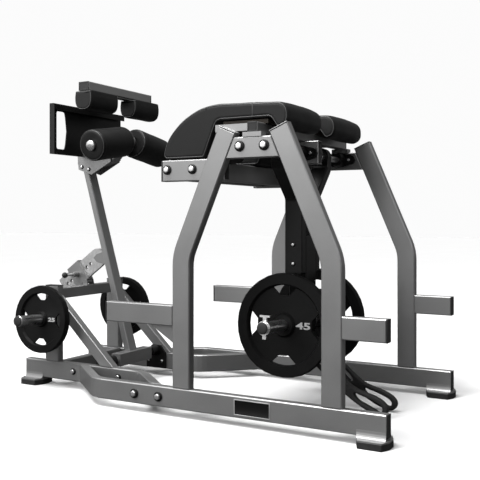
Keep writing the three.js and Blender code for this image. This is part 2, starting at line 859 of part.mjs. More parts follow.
// Sleeves lean up a little towards their free ends: everything on one shares its frame
function sleeveFrame(side, x, y, z) {
  const frame = new THREE.Group();
  frame.position.set(x, side * y, z);
  frame.rotation.x = side * THREE.MathUtils.degToRad(sleeveTilt) + (side < 0 ? Math.PI : 0);
  part.add(frame);
  frame.updateMatrix();
  return frame;
}
const roundSteps = 32;
const sleeveSteps = 20;
const rollerSteps = 24;
const flangeLift = sleeveFlangeRadius * Math.sin(THREE.MathUtils.degToRad(sleeveTilt)) + gap;
function sleeve(length) {
  return turned([
    [0, flangeLift],
    [sleeveFlangeRadius, flangeLift],
    [sleeveFlangeRadius, flangeLift + sleeveFlangeThick],
    [sleeveRadius, flangeLift + sleeveFlangeThick],
    [sleeveRadius, length],
    [sleeveRadius, length + sleeveCapThick / 2],
    [sleeveRadius - sleeveCapThick / 2, length + sleeveCapThick],
    [0, length + sleeveCapThick],
  ], sleeveSteps);
}
const sleeveFrames = sides.map(([, side]) => sleeveFrame(side, 0, columnHalf, sleeveZ));
const hornFrames = sides.map(([, side]) => sleeveFrame(side, -uprightX, railInnerY, hornZ));
const framed = (geometry, frame) => geometry.clone().applyMatrix4(frame.matrix);
sides.forEach(([name], i) => {
  addPiece(`weight_sleeve_${name}`, sleeve(sleeveLength), chrome, sleeveFrames[i]);
  addPiece(`storage_horn_${name}`, sleeve(hornLength), chrome, hornFrames[i]);
});

// Weight plate: raised hub and rim, thin web and four windows with arc outer edges
function weightPlate(radius, thick, start) {
  const rimShare = 0.79;
  const hubShare = 0.2;
  const webShare = 0.3;
  const slopeShare = 0.04;
  const edgeShare = 0.02;
  const windowOuterShare = 0.765;
  const windowInnerShare = 0.575;
  const windowAngle = 20;
  const bore = holeRadius(sleeveRadius, roundSteps);
  const web = (thick * (1 - webShare)) / 2;
  const disc = turned([
    [bore, start],
    [radius * hubShare, start],
    [radius * (hubShare + slopeShare), start + web],
    [radius * (rimShare - slopeShare), start + web],
    [radius * rimShare, start],
    [radius * (1 - edgeShare), start],
    [radius, start + thick / 2],
    [radius * (1 - edgeShare), start + thick],
    [radius * rimShare, start + thick],
    [radius * (rimShare - slopeShare), start + thick - web],
    [radius * (hubShare + slopeShare), start + thick - web],
    [radius * hubShare, start + thick],
    [bore, start + thick],
    [bore, start],
  ], roundSteps);
  const windows = [];
  const half = THREE.MathUtils.degToRad(windowAngle);
  const quarters = 4;
  const arcShares = [-1, -0.5, 0, 0.5, 1];
  for (let i = 0; i < quarters; i += 1) {
    const turn = (2 * Math.PI * i) / quarters;
    const outer = radius * windowOuterShare;
    const inner = radius * windowInnerShare;
    const outline = arcShares.map((share) => [
      outer * Math.cos(turn + share * half),
      outer * Math.sin(turn + share * half),
    ]);
    outline.push([inner * Math.cos(turn + half / 2), inner * Math.sin(turn + half / 2)]);
    outline.push([inner * Math.cos(turn - half / 2), inner * Math.sin(turn - half / 2)]);
    windows.push(alongY(outline, start - overrun, start + thick + overrun));
  }
  return cut(disc, ...windows);
}

// Spring collar with a grip tab above and a short tab below
function collar() {
  const tab = [
    [-collarTabWide / 2, collarRadius - collarTabWide / 2],
    [-collarTabWide / 2, collarRadius + collarTabTall],
    [-collarGripWide / 2, collarRadius + collarTabTall],
    [-collarGripWide / 2, collarRadius + collarTabTall + collarTabWide / 2],
    [collarGripWide / 2, collarRadius + collarTabTall + collarTabWide / 2],
    [collarGripWide / 2, collarRadius + collarTabTall],
    [collarTabWide / 2, collarRadius + collarTabTall],
    [collarTabWide / 2, collarRadius - collarTabWide / 2],
  ];
  const shortTab = [
    [-collarTabWide / 2, collarTabWide / 2 - collarRadius],
    [collarTabWide / 2, collarTabWide / 2 - collarRadius],
    [collarTabWide / 2, -collarRadius - collarTabWide],
    [-collarTabWide / 2, -collarRadius - collarTabWide],
  ];
  const end = collarStart + collarWide;
  const ring = rod(collarRadius, collarStart, end, sleeveSteps);
  const inner = collarStart + collarWide / 4;
  const outer = end - collarWide / 4;
  const bore = holeRadius(sleeveRadius, sleeveSteps);
  const hole = rod(bore, collarStart - overrun, end + overrun, sleeveSteps);
  return [join(ring, alongY(tab, inner, outer), alongY(shortTab, inner, outer)), hole];
}
sides.forEach(([name, side], i) => {
  const heavy = weightPlate(heavyPlateRadius, heavyPlateThick, heavyPlateStart);
  addPiece(`plate_45_${name}`, heavy, castIron, sleeveFrames[i]);
  const light = weightPlate(lightPlateRadius, lightPlateThick, lightPlateStart);
  addPiece(`plate_25_${name}`, light, castIron, hornFrames[i]);
  const [body, hole] = collar();
  if (side < 0) {
    body.rotateY(Math.PI);
  }
  addPiece(`collar_${name}`, cut(body, hole), chrome, sleeveFrames[i]);
});

// Strap bar: a round bar across under the column, in a welded hanger
const barStop = strapY + strapWide / 2 + gap;
const strapBarHalf = barStop + strapStopThick;
const strapBar = turned([
  [0, -strapBarHalf],
  [strapStopRadius, -strapBarHalf],
  [strapStopRadius, -barStop],
  [strapBarRadius, -barStop],
  [strapBarRadius, barStop],
  [strapStopRadius, barStop],
  [strapStopRadius, strapBarHalf],
  [0, strapBarHalf],
], shaftSteps);
const hangerHalf = strapY - strapWide / 2 - strapStopThick;
const barHanger = alongY([
  [-armWide / 2, columnBottom - gap],
  [-strapBarRadius, strapBarZ],
  [strapBarX - strapBarRadius, strapBarZ - strapBarRadius],
  [strapBarX + strapBarRadius, strapBarZ - strapBarRadius],
  [strapBarX + 2 * strapBarRadius, strapBarZ],
  [armWide / 2, columnBottom - gap],
], -hangerHalf, hangerHalf);
addPiece('strap_bar', join(barHanger, moved(strapBar, strapBarX, 0, strapBarZ)), blackPaint);

// Foot straps: long padded loops round the bar, cinched between a hand hole and the foot hole
const strapOuterShares = [
  [0, 0.31], [0.13, 0.26], [0.37, 0.14], [0.56, 0.07], [0.63, 0.1], [0.7, 0.2], [0.78, 0.36],
  [0.86, 0.47], [0.93, 0.49], [0.98, 0.39], [1, 0.16], [0.985, -0.09], [0.93, -0.25],
  [0.85, -0.37], [0.75, -0.45], [0.58, -0.49], [0.35, -0.44], [0.13, -0.35], [0, -0.31],
  [-0.04, -0.22], [-0.058, 0], [-0.04, 0.22],
];
const handHoleShares = [[0.1, 0.02], [0.3, -0.03], [0.5, -0.13], [0.52, -0.22], [0.35, -0.22], [0.12, -0.13]];
const footHoleShares = [
  [0.655, -0.12], [0.7, -0.02], [0.78, 0.13], [0.86, 0.24], [0.92, 0.26], [0.95, 0.16],
  [0.945, 0], [0.89, -0.09], [0.8, -0.19], [0.69, -0.25],
];
const strapTurn = -THREE.MathUtils.degToRad(strapSlope);
function strapOutline(shares) {
  return shares.map(([along, up]) => {
    const [a, b] = [along * strapLength, up * strapHeight];
    const x = a * Math.cos(strapTurn) - b * Math.sin(strapTurn);
    const z = a * Math.sin(strapTurn) + b * Math.cos(strapTurn);
    return [strapBarX + x, strapBarZ + z];
  });
}
for (const [name, side] of sides) {
  const middle = side * strapY;
  const holes = [handHoleShares, footHoleShares].map(strapOutline);
  holes.push(circle(strapBarX, strapBarZ, holeRadius(strapBarRadius, shaftSteps), shaftSteps));
  const ends = [middle - strapWide / 2, middle + strapWide / 2];
  const plain = alongY(strapOutline(strapOuterShares), ...ends, strapEdge);
  const cuts = holes.map((hole) => alongY(hole, middle - overrun, middle + overrun));
  addPiece(`strap_${name}`, cut(plain, ...cuts), webbing);
}

// Foot post: pivot tube with stub shafts, leaning post and the ears for the adjuster bar
function postX(z) {
  return -postPivotX - postSlopeShare * (z - postPivotZ);
}
const stubEnd = innerRailInnerFace - postFlangeThick;
const pivotTube = box(
  -postPivotX - pivotTubeLong / 2,
  -postPivotX + pivotTubeLong / 2,
  -pivotTubeHalf,
  pivotTubeHalf,
  postPivotZ - pivotTubeTall / 2,
  postPivotZ + pivotTubeTall / 2,
);
const postStart = postPivotZ + pivotTubeTall / 4;
const postOutline = bandOutline([[postX(postStart), postStart], [postX(postTop), postTop]], postThick / 2);
const postTube = alongY(postOutline, -postWide / 2, postWide / 2, tubeEdge);
const stub = moved(rod(shaftRadius, -stubEnd, stubEnd, shaftSteps), -postPivotX, 0, postPivotZ);
const barPinHole = holeRadius(barPinRadius, boltSteps);
const postEars = sides.map(([, side]) => {
  const inner = barThick / 2 + gap;
  const [low, high] = onSide(side, inner, inner + hingeEarThick);
  const [faceLow, faceHigh] = [barHingeZ - 2 * hingeEarRadius, barHingeZ + 2 * hingeEarRadius];
  const outline = [
    [postX(faceLow), faceLow],
    [postX(faceHigh), faceHigh],
    [-barHingeX, barHingeZ + hingeEarRadius],
    [-barHingeX - hingeEarRadius, barHingeZ],
    [-barHingeX, barHingeZ - hingeEarRadius],
  ];
  return alongY(outline, low, high);
});
const hingePin = moved(
  rod(barPinRadius, -barThick / 2 - hingeEarThick - gap, barThick / 2 + hingeEarThick + gap, boltSteps),
  -barHingeX,
  0,
  barHingeZ,
);
addPiece('foot_post', join(pivotTube, postTube, stub, ...postEars, hingePin), framePaint);

// Bearing brackets for the post, bolted to the inner rails
const stubHole = holeRadius(shaftRadius, shaftSteps);
for (const [name, side] of sides) {
  const [low, high] = onSide(side, innerRailInnerFace - gap - postFlangeThick, innerRailInnerFace - gap);
  const plate = alongY([
    [-postPivotX - postFlangeLong / 2, railBottom + tubeEdge],
    [-postPivotX + postFlangeLong / 2, railBottom + tubeEdge],
    [-postPivotX + postFlangeLong / 2, railTop - tubeEdge],
    [-postPivotX + postBossRadius, postPivotZ + postBossRadius],
    [-postPivotX - postBossRadius, postPivotZ + postBossRadius],
    [-postPivotX - postFlangeLong / 2, railTop - tubeEdge],
  ], low, high);
  const [bossLow, bossHigh] = onSide(side, postBossInner, innerRailInnerFace - tubeWall);
  const boss = moved(rod(postBossRadius, bossLow, bossHigh, shaftSteps), -postPivotX, 0, postPivotZ);
  const [holeLow, holeHigh] = onSide(side, postBossInner - overrun, stubEnd + gap);
  const hole = moved(rod(stubHole, holeLow, holeHigh, shaftSteps), -postPivotX, 0, postPivotZ);
  addPiece(`post_bearing_${name}`, cut(join(plate, boss), hole), blackPaint);
}

// Roller axles drop towards their free ends
function rollerFrame(side) {
  const frame = new THREE.Group();
  frame.position.set(-rollerX, 0, rollerZ);
  frame.rotation.x = (side < 0 ? Math.PI : 0) - side * THREE.MathUtils.degToRad(rollerTilt);
  part.add(frame);
  frame.updateMatrix();
  return frame;
}
const rollerFrames = sides.map(([, side]) => rollerFrame(side));
const rollerEnd = rollerStart + rollerLength;
const rollerAxle = turned([
  [0, 0],
  [rollerAxleRadius, 0],
  [rollerAxleRadius, rollerEnd + gap],
  [rollerEndRadius, rollerEnd + gap],
  [rollerEndRadius, rollerEnd + gap + rollerEndThick / 2],
  [rollerEndRadius / 2, rollerEnd + gap + rollerEndThick],
  [0, rollerEnd + gap + rollerEndThick],
], shaftSteps);
const axles = rollerFrames.map((frame) => framed(rollerAxle, frame));

// Foot head: two side plates, the mast behind the footplate and the arm to the roller hub
const headInner = postWide / 2 - tubeWall;
const headPlateOutline = headPlateShares.map(([along, up]) => [
  -headPlateFrontX - along * headPlateLong,
  headPlateBottom + up * headPlateTall,
]);
const headPlates = sides.map(([, side]) => {
  const [low, high] = onSide(side, postWide / 2 + gap, postWide / 2 + gap + plateThick);
  return alongY(headPlateOutline, low, high);
});
const sheetSlot = box(
  -footplateX - gap,
  -footplateX + footplateThick + gap,
  -postWide,
  postWide,
  footplateBottom - gap,
  footplateTop,
);
const mastX = -footplateX - gap - mastThick / 2;
const padBarRear = -padBarX - padBarLong / 2;
const mastPath = roundedPath([
  [mastX, mastBottom],
  [mastX, mastBendZ],
  [padBarRear + tubeWall / 2, mastEndZ],
], mastBendRadius);
const mast = alongY(bandOutline(mastPath, mastThick / 2, null, [0, 1]), -headInner, headInner, tubeEdge);
const plateMid = postWide / 2 + plateThick / 2;
const platePin = rod(barPinRadius, -plateMid, plateMid, boltSteps);
const mastPin = moved(platePin, mastX, 0, mastBottom + mastThick / 2);
const rollerArmStart = [-rollerArmRearX, rollerArmRearZ];
const rollerArmBend = [-rollerArmBendX, rollerArmBendZ];
const armPath = roundedPath([rollerArmStart, rollerArmBend, [-rollerX, rollerZ]], mastBendRadius);
const rollerArm = alongY(bandOutline(armPath, mastThick / 2), -headInner, headInner, tubeEdge);
const armPinX = -(rollerArmRearX + rollerArmBendX) / 2;
const armPinZ = (rollerArmRearZ + rollerArmBendZ) / 2;
const armPin = moved(platePin, armPinX, 0, armPinZ);
const hub = moved(rod(rollerHubRadius, -headInner, headInner, shaftSteps), -rollerX, 0, rollerZ);

// Upper pad bar on the mast, with the strip that the pads are screwed to
const padBarBottom = padBarZ - padBarTall / 2;
const padBar = crossTube(-padBarX, padBarLong, padBarZ, padBarTall, padBarHalf);
const strip = box(
  -padBarX - padStripLong / 2,
  -padBarX + padStripLong / 2,
  -padBarHalf,
  padBarHalf,
  padBarBottom - padStripThick,
  padBarBottom + tubeWall / 2,
);
const slottedPlates = headPlates.map((plate) => cut(plate, sheetSlot));
const footHead = join(...slottedPlates, mast, mastPin, rollerArm, armPin, hub, ...axles, padBar, strip);
addPiece('foot_head', footHead, framePaint);

// Footplate with a rolled lip, a hand window on the near side and its flange
const plateFace = -footplateX + footplateThick;
const sheet = box(-footplateX, plateFace, -footplateHalf, footplateHalf, footplateBottom, footplateTop);
const lip = alongY([
  [plateFace - footplateThick / 2, footplateTop],
  [plateFace - footplateThick / 2, footplateTop - footplateThick],
  [plateFace + footplateLip - 2 * footplateThick, footplateTop - footplateThick],
  [plateFace + footplateLip - 2 * footplateThick, footplateTop - footplateLip],
  [plateFace + footplateLip - footplateThick, footplateTop - footplateLip],
  [plateFace + footplateLip - footplateThick, footplateTop - footplateThick / 2],
  [plateFace + footplateLip - 2 * footplateThick, footplateTop],
], -footplateHalf, footplateHalf);
const sideFlange = box(
  -footplateX + footplateThick / 2,
  plateFace + footplateLip - footplateThick,
  -footplateHalf,
  -footplateHalf + footplateThick,
  footplateBottom,
  footplateTop - footplateThick / 2,
);
const windowOutline = roundedPath([
  [-(windowInnerY + windowOuterY) / 2, windowBottom],
  [-windowInnerY - windowBulge, windowBottom],
  [-windowInnerY, (windowBottom + windowTop) / 2, windowBulgeRadius],
  [-windowInnerY - windowBulge, windowTop],
  [-windowOuterY, windowTop],
  [-windowOuterY, windowBottom],
  [-(windowInnerY + windowOuterY) / 2, windowBottom],
], windowCorner, windowSteps).slice(1);
const windowCut = alongX(windowOutline, -footplateX - overrun, plateFace + overrun);
addPiece('footplate', join(cut(sheet, windowCut), lip, sideFlange), blackPaint);

// Upper foot pads: flat on top, round below
const footPadTop = padBarBottom - padStripThick - gap;
const footPadArc = 12;
const footPadOutline = [];
for (let i = 0; i <= footPadArc; i += 1) {
  const angle = Math.PI + (Math.PI * i) / footPadArc;
  const shoulderShare = 0.3;
  const squareShare = 0.72;
  const shoulder = footPadTop - footPadTall * shoulderShare;
  const along = Math.sign(Math.cos(angle)) * Math.abs(Math.cos(angle)) ** squareShare;
  const down = Math.abs(Math.sin(angle)) ** squareShare;
  footPadOutline.push([
    -footPadX + (footPadLong / 2) * along,
    shoulder - footPadTall * (1 - shoulderShare) * down,
  ]);
}
footPadOutline.push([-footPadX + footPadLong / 2 - footPadEdge / 3, footPadTop]);
footPadOutline.push([-footPadX - footPadLong / 2 + footPadEdge / 3, footPadTop]);
for (const [name, side] of sides) {
  const [low, high] = onSide(side, footPadInnerY, footPadOuterY);
  addPiece(`upper_pad_${name}`, cushion(footPadOutline, low, high, footPadEdge, 0), vinyl);
}

// Foot rollers
const rollerBore = holeRadius(rollerAxleRadius, shaftSteps);
const rollerProfile = [
  [rollerBore, rollerStart],
  [rollerRadius - rollerEdge, rollerStart],
  [rollerRadius - rollerEdge / 3, rollerStart + rollerEdge / 3],
  [rollerRadius, rollerStart + rollerEdge],
  [rollerRadius, rollerStart + rollerSeamInset - rollerSeamDepth],
  [rollerRadius - rollerSeamDepth, rollerStart + rollerSeamInset],
  [rollerRadius, rollerStart + rollerSeamInset + rollerSeamDepth],
  [rollerRadius, rollerEnd - rollerSeamInset - rollerSeamDepth],
  [rollerRadius - rollerSeamDepth, rollerEnd - rollerSeamInset],
  [rollerRadius, rollerEnd - rollerSeamInset + rollerSeamDepth],
  [rollerRadius, rollerEnd - rollerEdge],
  [rollerRadius - rollerEdge / 3, rollerEnd - rollerEdge / 3],
  [rollerRadius - rollerEdge, rollerEnd],
  [rollerBore, rollerEnd],
  [rollerBore, rollerStart],
];
sides.forEach(([name], i) => {
  addPiece(`foot_roller_${name}`, turned(rollerProfile, rollerSteps), vinyl, rollerFrames[i]);
});

// Adjuster: laid out along the bar's own slope, from its hinge on the post
const barTurn = THREE.MathUtils.degToRad(barSlope);
function onBar(points) {
  return points.map(([along, up]) => {
    const x = -barHingeX - along * Math.cos(barTurn) - up * Math.sin(barTurn);
    const z = barHingeZ - along * Math.sin(barTurn) + up * Math.cos(barTurn);
    return [x, z];
  });
}
const barHalf = barWide / 2;
const barEndArc = 8;
const barPoints = [[barLength, -barHalf], [barLength, barHalf]];
for (let i = 0; i <= barEndArc; i += 1) {
  const angle = Math.PI / 2 + (Math.PI * i) / barEndArc;
  barPoints.push([barHalf * Math.cos(angle), barHalf * Math.sin(angle)]);
}
const barCuts = [onBar(circle(0, 0, barPinHole, boltSteps))];
for (let i = 0; i < barHoleCount; i += 1) {
  const along = clampCentre + (i - barHolesAbove) * barHolePitch;
  barCuts.push(onBar(circle(along, 0, barHoleRadius, boltSteps)));
}
const barFlat = alongY(onBar(barPoints), -barThick / 2, barThick / 2);
const barTools = barCuts.map((outline) => alongY(outline, -overrun, overrun));
addPiece('adjuster_bar', cut(barFlat, ...barTools), zinc);

// Clamp round the bar, with its hinge lug and pin below and the pull pin's boss in front
const clampInner = barHalf + clampSlotGap;
const clampOuter = clampInner + clampWallThick;
const clampEnds = [clampCentre - clampLength / 2, clampCentre + clampLength / 2];
const clampBlock = alongY(onBar([
  [clampEnds[0], -clampOuter],
  [clampEnds[0], clampOuter],
  [clampEnds[1], clampOuter],
  [clampEnds[1], -clampOuter],
]), -clampWide / 2, clampWide / 2);
const clampSlot = alongY(onBar([
  [clampEnds[0] - overrun, -clampInner],
  [clampEnds[0] - overrun, clampInner],
  [clampEnds[1] + overrun, clampInner],
  [clampEnds[1] + overrun, -clampInner],
]), -barThick / 2 - gap, barThick / 2 + gap);
const lug = alongY(circle(-clampPinX, clampPinZ, clampLugRadius, boltSteps), -clampWide / 2, clampWide / 2);
const clampPinHalf = clampWide / 2 + gap + hingeEarThick + gap;
const clampPin = moved(rod(clampPinRadius, -clampPinHalf, clampPinHalf, boltSteps), -clampPinX, 0, clampPinZ);
const [pinAt] = onBar([[clampCentre, 0]]);
const pinBossEnd = -clampWide / 2 - pinBossLength;
const bossRod = rod(pinBossRadius, pinBossEnd, -clampWide / 2 + tubeWall, shaftSteps);
const pinBoss = moved(bossRod, pinAt[0], 0, pinAt[1]);
const pinBore = holeRadius(pinRadius, shaftSteps);
const pinHole = moved(rod(pinBore, pinBossEnd - overrun, 0, shaftSteps), pinAt[0], 0, pinAt[1]);
const clampBody = cut(join(clampBlock, lug), clampSlot);
addPiece('adjuster_clamp', cut(join(clampBody, clampPin, pinBoss), pinHole), framePaint);

// Pull pin with its ball knob
const pinNose = -barThick / 2 - gap;
const knobY = pinNose - pinReach - knobRadius;
const knobSteps = 12;
const knobBall = new THREE.SphereGeometry(knobRadius, knobSteps, knobSteps / 2);
const pinShaft = rod(pinRadius, knobY, pinNose, shaftSteps);
addPiece('pull_pin', moved(join(pinShaft, moved(knobBall, 0, knobY, 0)), pinAt[0], 0, pinAt[1]), plastic);

// Rubber feet
const rubberTop = footPlateBottom - gap;
const footPlaces = [['front', footFrontX, 1, outerRailMid], ['rear', -footRearX, -1, innerRailMid]];
for (const [name, side] of sides) {
  for (const [place, tip, end, mid] of footPlaces) {
    const foot = alongZ(footPlan(tip, end, side * mid), 0, rubberTop);
    addPiece(`rubber_foot_${place}_${name}`, foot, rubber);
  }
}

export default part;
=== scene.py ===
import json
import math

import bmesh
import bpy
from mathutils import Matrix, Vector, noise


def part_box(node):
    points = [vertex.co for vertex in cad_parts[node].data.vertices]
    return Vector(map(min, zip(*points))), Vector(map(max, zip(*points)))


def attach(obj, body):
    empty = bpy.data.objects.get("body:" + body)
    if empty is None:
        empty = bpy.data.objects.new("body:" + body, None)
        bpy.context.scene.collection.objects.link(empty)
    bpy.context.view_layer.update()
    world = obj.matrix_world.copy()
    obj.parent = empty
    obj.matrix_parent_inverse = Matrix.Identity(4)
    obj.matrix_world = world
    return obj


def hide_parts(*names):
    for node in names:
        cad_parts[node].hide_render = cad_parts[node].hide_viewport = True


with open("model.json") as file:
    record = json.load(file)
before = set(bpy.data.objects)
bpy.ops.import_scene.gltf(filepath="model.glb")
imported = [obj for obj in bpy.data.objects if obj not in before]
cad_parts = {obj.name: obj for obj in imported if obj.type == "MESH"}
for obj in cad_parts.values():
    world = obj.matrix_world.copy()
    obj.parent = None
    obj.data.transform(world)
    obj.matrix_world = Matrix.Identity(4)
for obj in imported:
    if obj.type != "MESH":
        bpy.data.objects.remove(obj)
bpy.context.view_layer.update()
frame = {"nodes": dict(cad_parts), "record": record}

# Reverse hyperextension machine. Sizes are in millimetres, with x measured from the pendulum's
# pivot. place() turns them into the frame's metres.
PIVOT_X = 0.437
MM = 0.001
SIDES = (("near", -1), ("far", 1))


def place(x, y, z):
    return Vector((x * MM + PIVOT_X, y * MM, z * MM))


# ---------------------------------------------------------------- finishes

# A wave texture repeats about this often over a length of one divided by its scale
BANDS_PER_UNIT = 3.2


class Value:
    """A number, colour or vector inside a finish, which sums and products add nodes to."""

    def __init__(self, finish, socket):
        self.finish = finish
        self.socket = socket

    def sum(self, operation, other, swapped=False):
        pair = (other, self) if swapped else (self, other)
        return self.finish.node("ShaderNodeMath", {"operation": operation}, {0: pair[0], 1: pair[1]})

    def __add__(self, other):
        return self.sum("ADD", other)

    def __radd__(self, other):
        return self.sum("ADD", other)

    def __sub__(self, other):
        return self.sum("SUBTRACT", other)

    def __rsub__(self, other):
        return self.sum("SUBTRACT", other, swapped=True)

    def __mul__(self, other):
        return self.sum("MULTIPLY", other)

    def __rmul__(self, other):
        return self.sum("MULTIPLY", other)

    def least(self, other):
        return self.sum("MINIMUM", other)

    def most(self, other):
        return self.sum("MAXIMUM", other)


class Finish:
    """One procedural finish of the machine, such as its silver paint or the pads' vinyl."""

    def __init__(self, name, metallic=0.0, roughness=0.5, coat=0.0, sheen=0.0, specular=0.5):
        self.material = bpy.data.materials.new(name)
        self.material.use_nodes = True
        self.tree = self.material.node_tree
        self.shader = self.tree.nodes["Principled BSDF"]
        self.shader.inputs["Metallic"].default_value = metallic
        self.shader.inputs["Roughness"].default_value = roughness
        self.shader.inputs["Coat Weight"].default_value = coat
        self.shader.inputs["Sheen Weight"].default_value = sheen
        self.shader.inputs["Specular IOR Level"].default_value = specular

    def node(self, kind, settings, sockets, output=0):
        made = self.tree.nodes.new(kind)
        for name, value in settings.items():
            setattr(made, name, value)
        for name, value in sockets.items():
            if isinstance(value, Value):
                self.tree.links.new(value.socket, made.inputs[name])
            else:
                made.inputs[name].default_value = value
        return Value(self, made.outputs[output])

    def at(self, stretch=(1, 1, 1)):
        coordinates = self.node("ShaderNodeTexCoord", {}, {}, "Object")
        return self.node("ShaderNodeMapping", {}, {"Vector": coordinates, "Scale": stretch})

    def grain(self, size, detail=3.0, stretch=(1, 1, 1)):
        sockets = {"Vector": self.at(stretch), "Scale": 1 / (size * MM), "Detail": detail}
        return self.node("ShaderNodeTexNoise", {}, sockets, "Fac")

    def cells(self, size):
        sockets = {"Vector": self.at(), "Scale": 1 / (size * MM)}
        return self.node("ShaderNodeTexVoronoi", {"feature": "F1"}, sockets, "Distance")

    def bands(self, size, direction):
        scale = 1 / (size * MM) / BANDS_PER_UNIT
        sockets = {"Vector": self.at(), "Scale": scale, "Distortion": 0.2}
        settings = {"wave_type": "BANDS", "bands_direction": direction}
        return self.node("ShaderNodeTexWave", settings, sockets, "Fac")

    def blended(self, share, first, second):
        sockets = {0: share, 6: first, 7: second}
        return self.node("ShaderNodeMix", {"data_type": "RGBA"}, sockets, 2)

    def colour(self, value):
        self.tree.links.new(value.socket, self.shader.inputs["Base Color"])

    def rough(self, value):
        self.tree.links.new(value.socket, self.shader.inputs["Roughness"])

    def relief(self, height, depth, strength=1.0):
        sockets = {"Height": height, "Distance": depth * MM, "Strength": strength}
        bumped = self.node("ShaderNodeBump", {}, sockets, "Normal")
        self.tree.links.new(bumped.socket, self.shader.inputs["Normal"])


def grey(level):
    return (level, level, level, 1)


def silver_paint():
    finish = Finish("silver powder paint", metallic=0.72, coat=0.12)
    flake = finish.grain(1.1, 2.0)
    cloud = finish.grain(160, 4.0)
    scuff = finish.grain(26, 6.0, (1, 1, 0.35))
    finish.colour(finish.blended(flake * 0.55 + cloud * 0.45, grey(0.20), grey(0.33)))
    finish.rough(cloud * 0.10 + flake * 0.10 + scuff * 0.08 + 0.25)
    finish.relief(flake * 0.6 + finish.grain(3.2, 2.0) * 0.4, 0.12, 0.5)
    return finish


def black_paint():
    finish = Finish("black gloss paint", specular=0.28)
    peel = finish.grain(3.0, 2.0)
    cloud = finish.grain(120, 4.0)
    finish.colour(finish.blended(cloud, grey(0.002), grey(0.006)))
    finish.rough(cloud * 0.12 + peel * 0.08 + 0.24)
    finish.relief(peel, 0.12, 0.5)
    return finish


def pad_vinyl():
    finish = Finish("black pad vinyl", specular=0.2)
    pebble = finish.cells(2.2)
    crease = finish.grain(7, 5.0)
    cloud = finish.grain(90, 3.0)
    finish.colour(finish.blended(pebble * 0.5 + cloud * 0.5, grey(0.004), grey(0.013)))
    finish.rough(cloud * 0.14 + pebble * 0.12 + 0.36)
    finish.relief(pebble * 0.65 + crease * 0.35, 0.35, 0.45)
    return finish


def pad_piping():
    finish = Finish("pad piping", sheen=0.05)
    rib = finish.grain(1.6, 2.0)
    finish.colour(finish.blended(rib, grey(0.03), grey(0.06)))
    finish.rough(rib * 0.1 + 0.38)
    finish.relief(rib, 0.15, 0.5)
    return finish


def chrome():
    finish = Finish("polished chrome", metallic=1.0)
    smear = finish.grain(14, 4.0, (1, 0.2, 1))
    finish.colour(finish.blended(smear, grey(0.68), grey(0.90)))
    finish.rough(smear * 0.18 + 0.20)
    finish.relief(finish.grain(1.5, 2.0), 0.02, 0.3)
    return finish


def zinc():
    finish = Finish("zinc plate", metallic=1.0)
    spangle = finish.cells(9)
    roll = finish.grain(2.0, 3.0, (0.1, 1, 0.1))
    finish.colour(finish.blended(spangle * 0.6 + roll * 0.4, grey(0.50), grey(0.70)))
    finish.rough(roll * 0.16 + spangle * 0.1 + 0.22)
    finish.relief(roll, 0.06, 0.4)
    return finish


def plate_iron():
    finish = Finish("black plate iron", specular=0.12)
    cast = finish.grain(2.6, 4.0)
    cloud = finish.grain(70, 3.0)
    finish.colour(finish.blended(cast * 0.4 + cloud * 0.6, grey(0.002), grey(0.006)))
    finish.rough(cast * 0.18 + cloud * 0.1 + 0.34)
    finish.relief(cast, 0.35, 0.6)
    return finish


def black_plastic():
    finish = Finish("black moulded plastic", specular=0.3)
    spark = finish.grain(0.9, 2.0)
    finish.colour(finish.blended(spark, grey(0.012), grey(0.026)))
    finish.rough(spark * 0.18 + 0.42)
    finish.relief(spark, 0.10, 0.5)
    return finish


def rubber():
    finish = Finish("black rubber", specular=0.3)
    dust = finish.grain(18, 5.0)
    skin = finish.grain(1.4, 2.0)
    finish.colour(finish.blended(dust, grey(0.010), grey(0.035)))
    finish.rough(dust * 0.12 + 0.74)
    finish.relief(skin, 0.2, 0.6)
    return finish


def webbing():
    finish = Finish("black webbing", specular=0.2)
    along = finish.bands(2.4, "X")
    across = finish.bands(2.4, "Y")
    thread = along.least(across) + finish.grain(0.8, 2.0) * 0.3
    finish.colour(finish.blended(thread, grey(0.008), grey(0.035)))
    finish.rough(thread * 0.12 + 0.62)
    finish.relief(thread, 0.35, 0.7)
    return finish


def pad_board():
    finish = Finish("stained plywood", specular=0.3)
    ply = finish.bands(3.0, "Z")
    fibre = finish.grain(2.2, 4.0, (0.06, 1, 1))
    dark, light = (0.014, 0.011, 0.008, 1), (0.040, 0.032, 0.024, 1)
    finish.colour(finish.blended(ply * 0.5 + fibre * 0.5, dark, light))
    finish.rough(fibre * 0.14 + 0.62)
    finish.relief(fibre, 0.2, 0.5)
    return finish


def number_paint():
    finish = Finish("pale number paint", specular=0.4)
    worn = finish.grain(4, 5.0)
    finish.colour(finish.blended(worn, grey(0.30), grey(0.48)))
    finish.rough(worn * 0.14 + 0.42)
    finish.relief(worn, 0.05, 0.4)
    return finish


def plate_border():
    finish = Finish("name plate border", metallic=0.8)
    brushed = finish.grain(1.6, 3.0, (0.08, 1, 1))
    finish.colour(finish.blended(brushed, grey(0.50), grey(0.68)))
    finish.rough(brushed * 0.14 + 0.30)
    finish.relief(brushed, 0.04, 0.4)
    return finish


FINISHES = {
    "frame_paint": silver_paint(),
    "black_paint": black_paint(),
    "pad_vinyl": pad_vinyl(),
    "rubber": rubber(),
    "black_plastic": black_plastic(),
    "chrome": chrome(),
    "zinc": zinc(),
    "plate_iron": plate_iron(),
    "webbing": webbing(),
    "board": pad_board(),
}
PIPING = pad_piping()
NUMBER_PAINT = number_paint()
PLATE_BORDER = plate_border()

for subpart in frame["record"]["subparts"]:
    node = frame["nodes"][subpart["node"]]
    for material_slot in node.material_slots:
        material_slot.material = FINISHES[subpart["material_slot"]].material


# ---------------------------------------------------------------- modelling tools

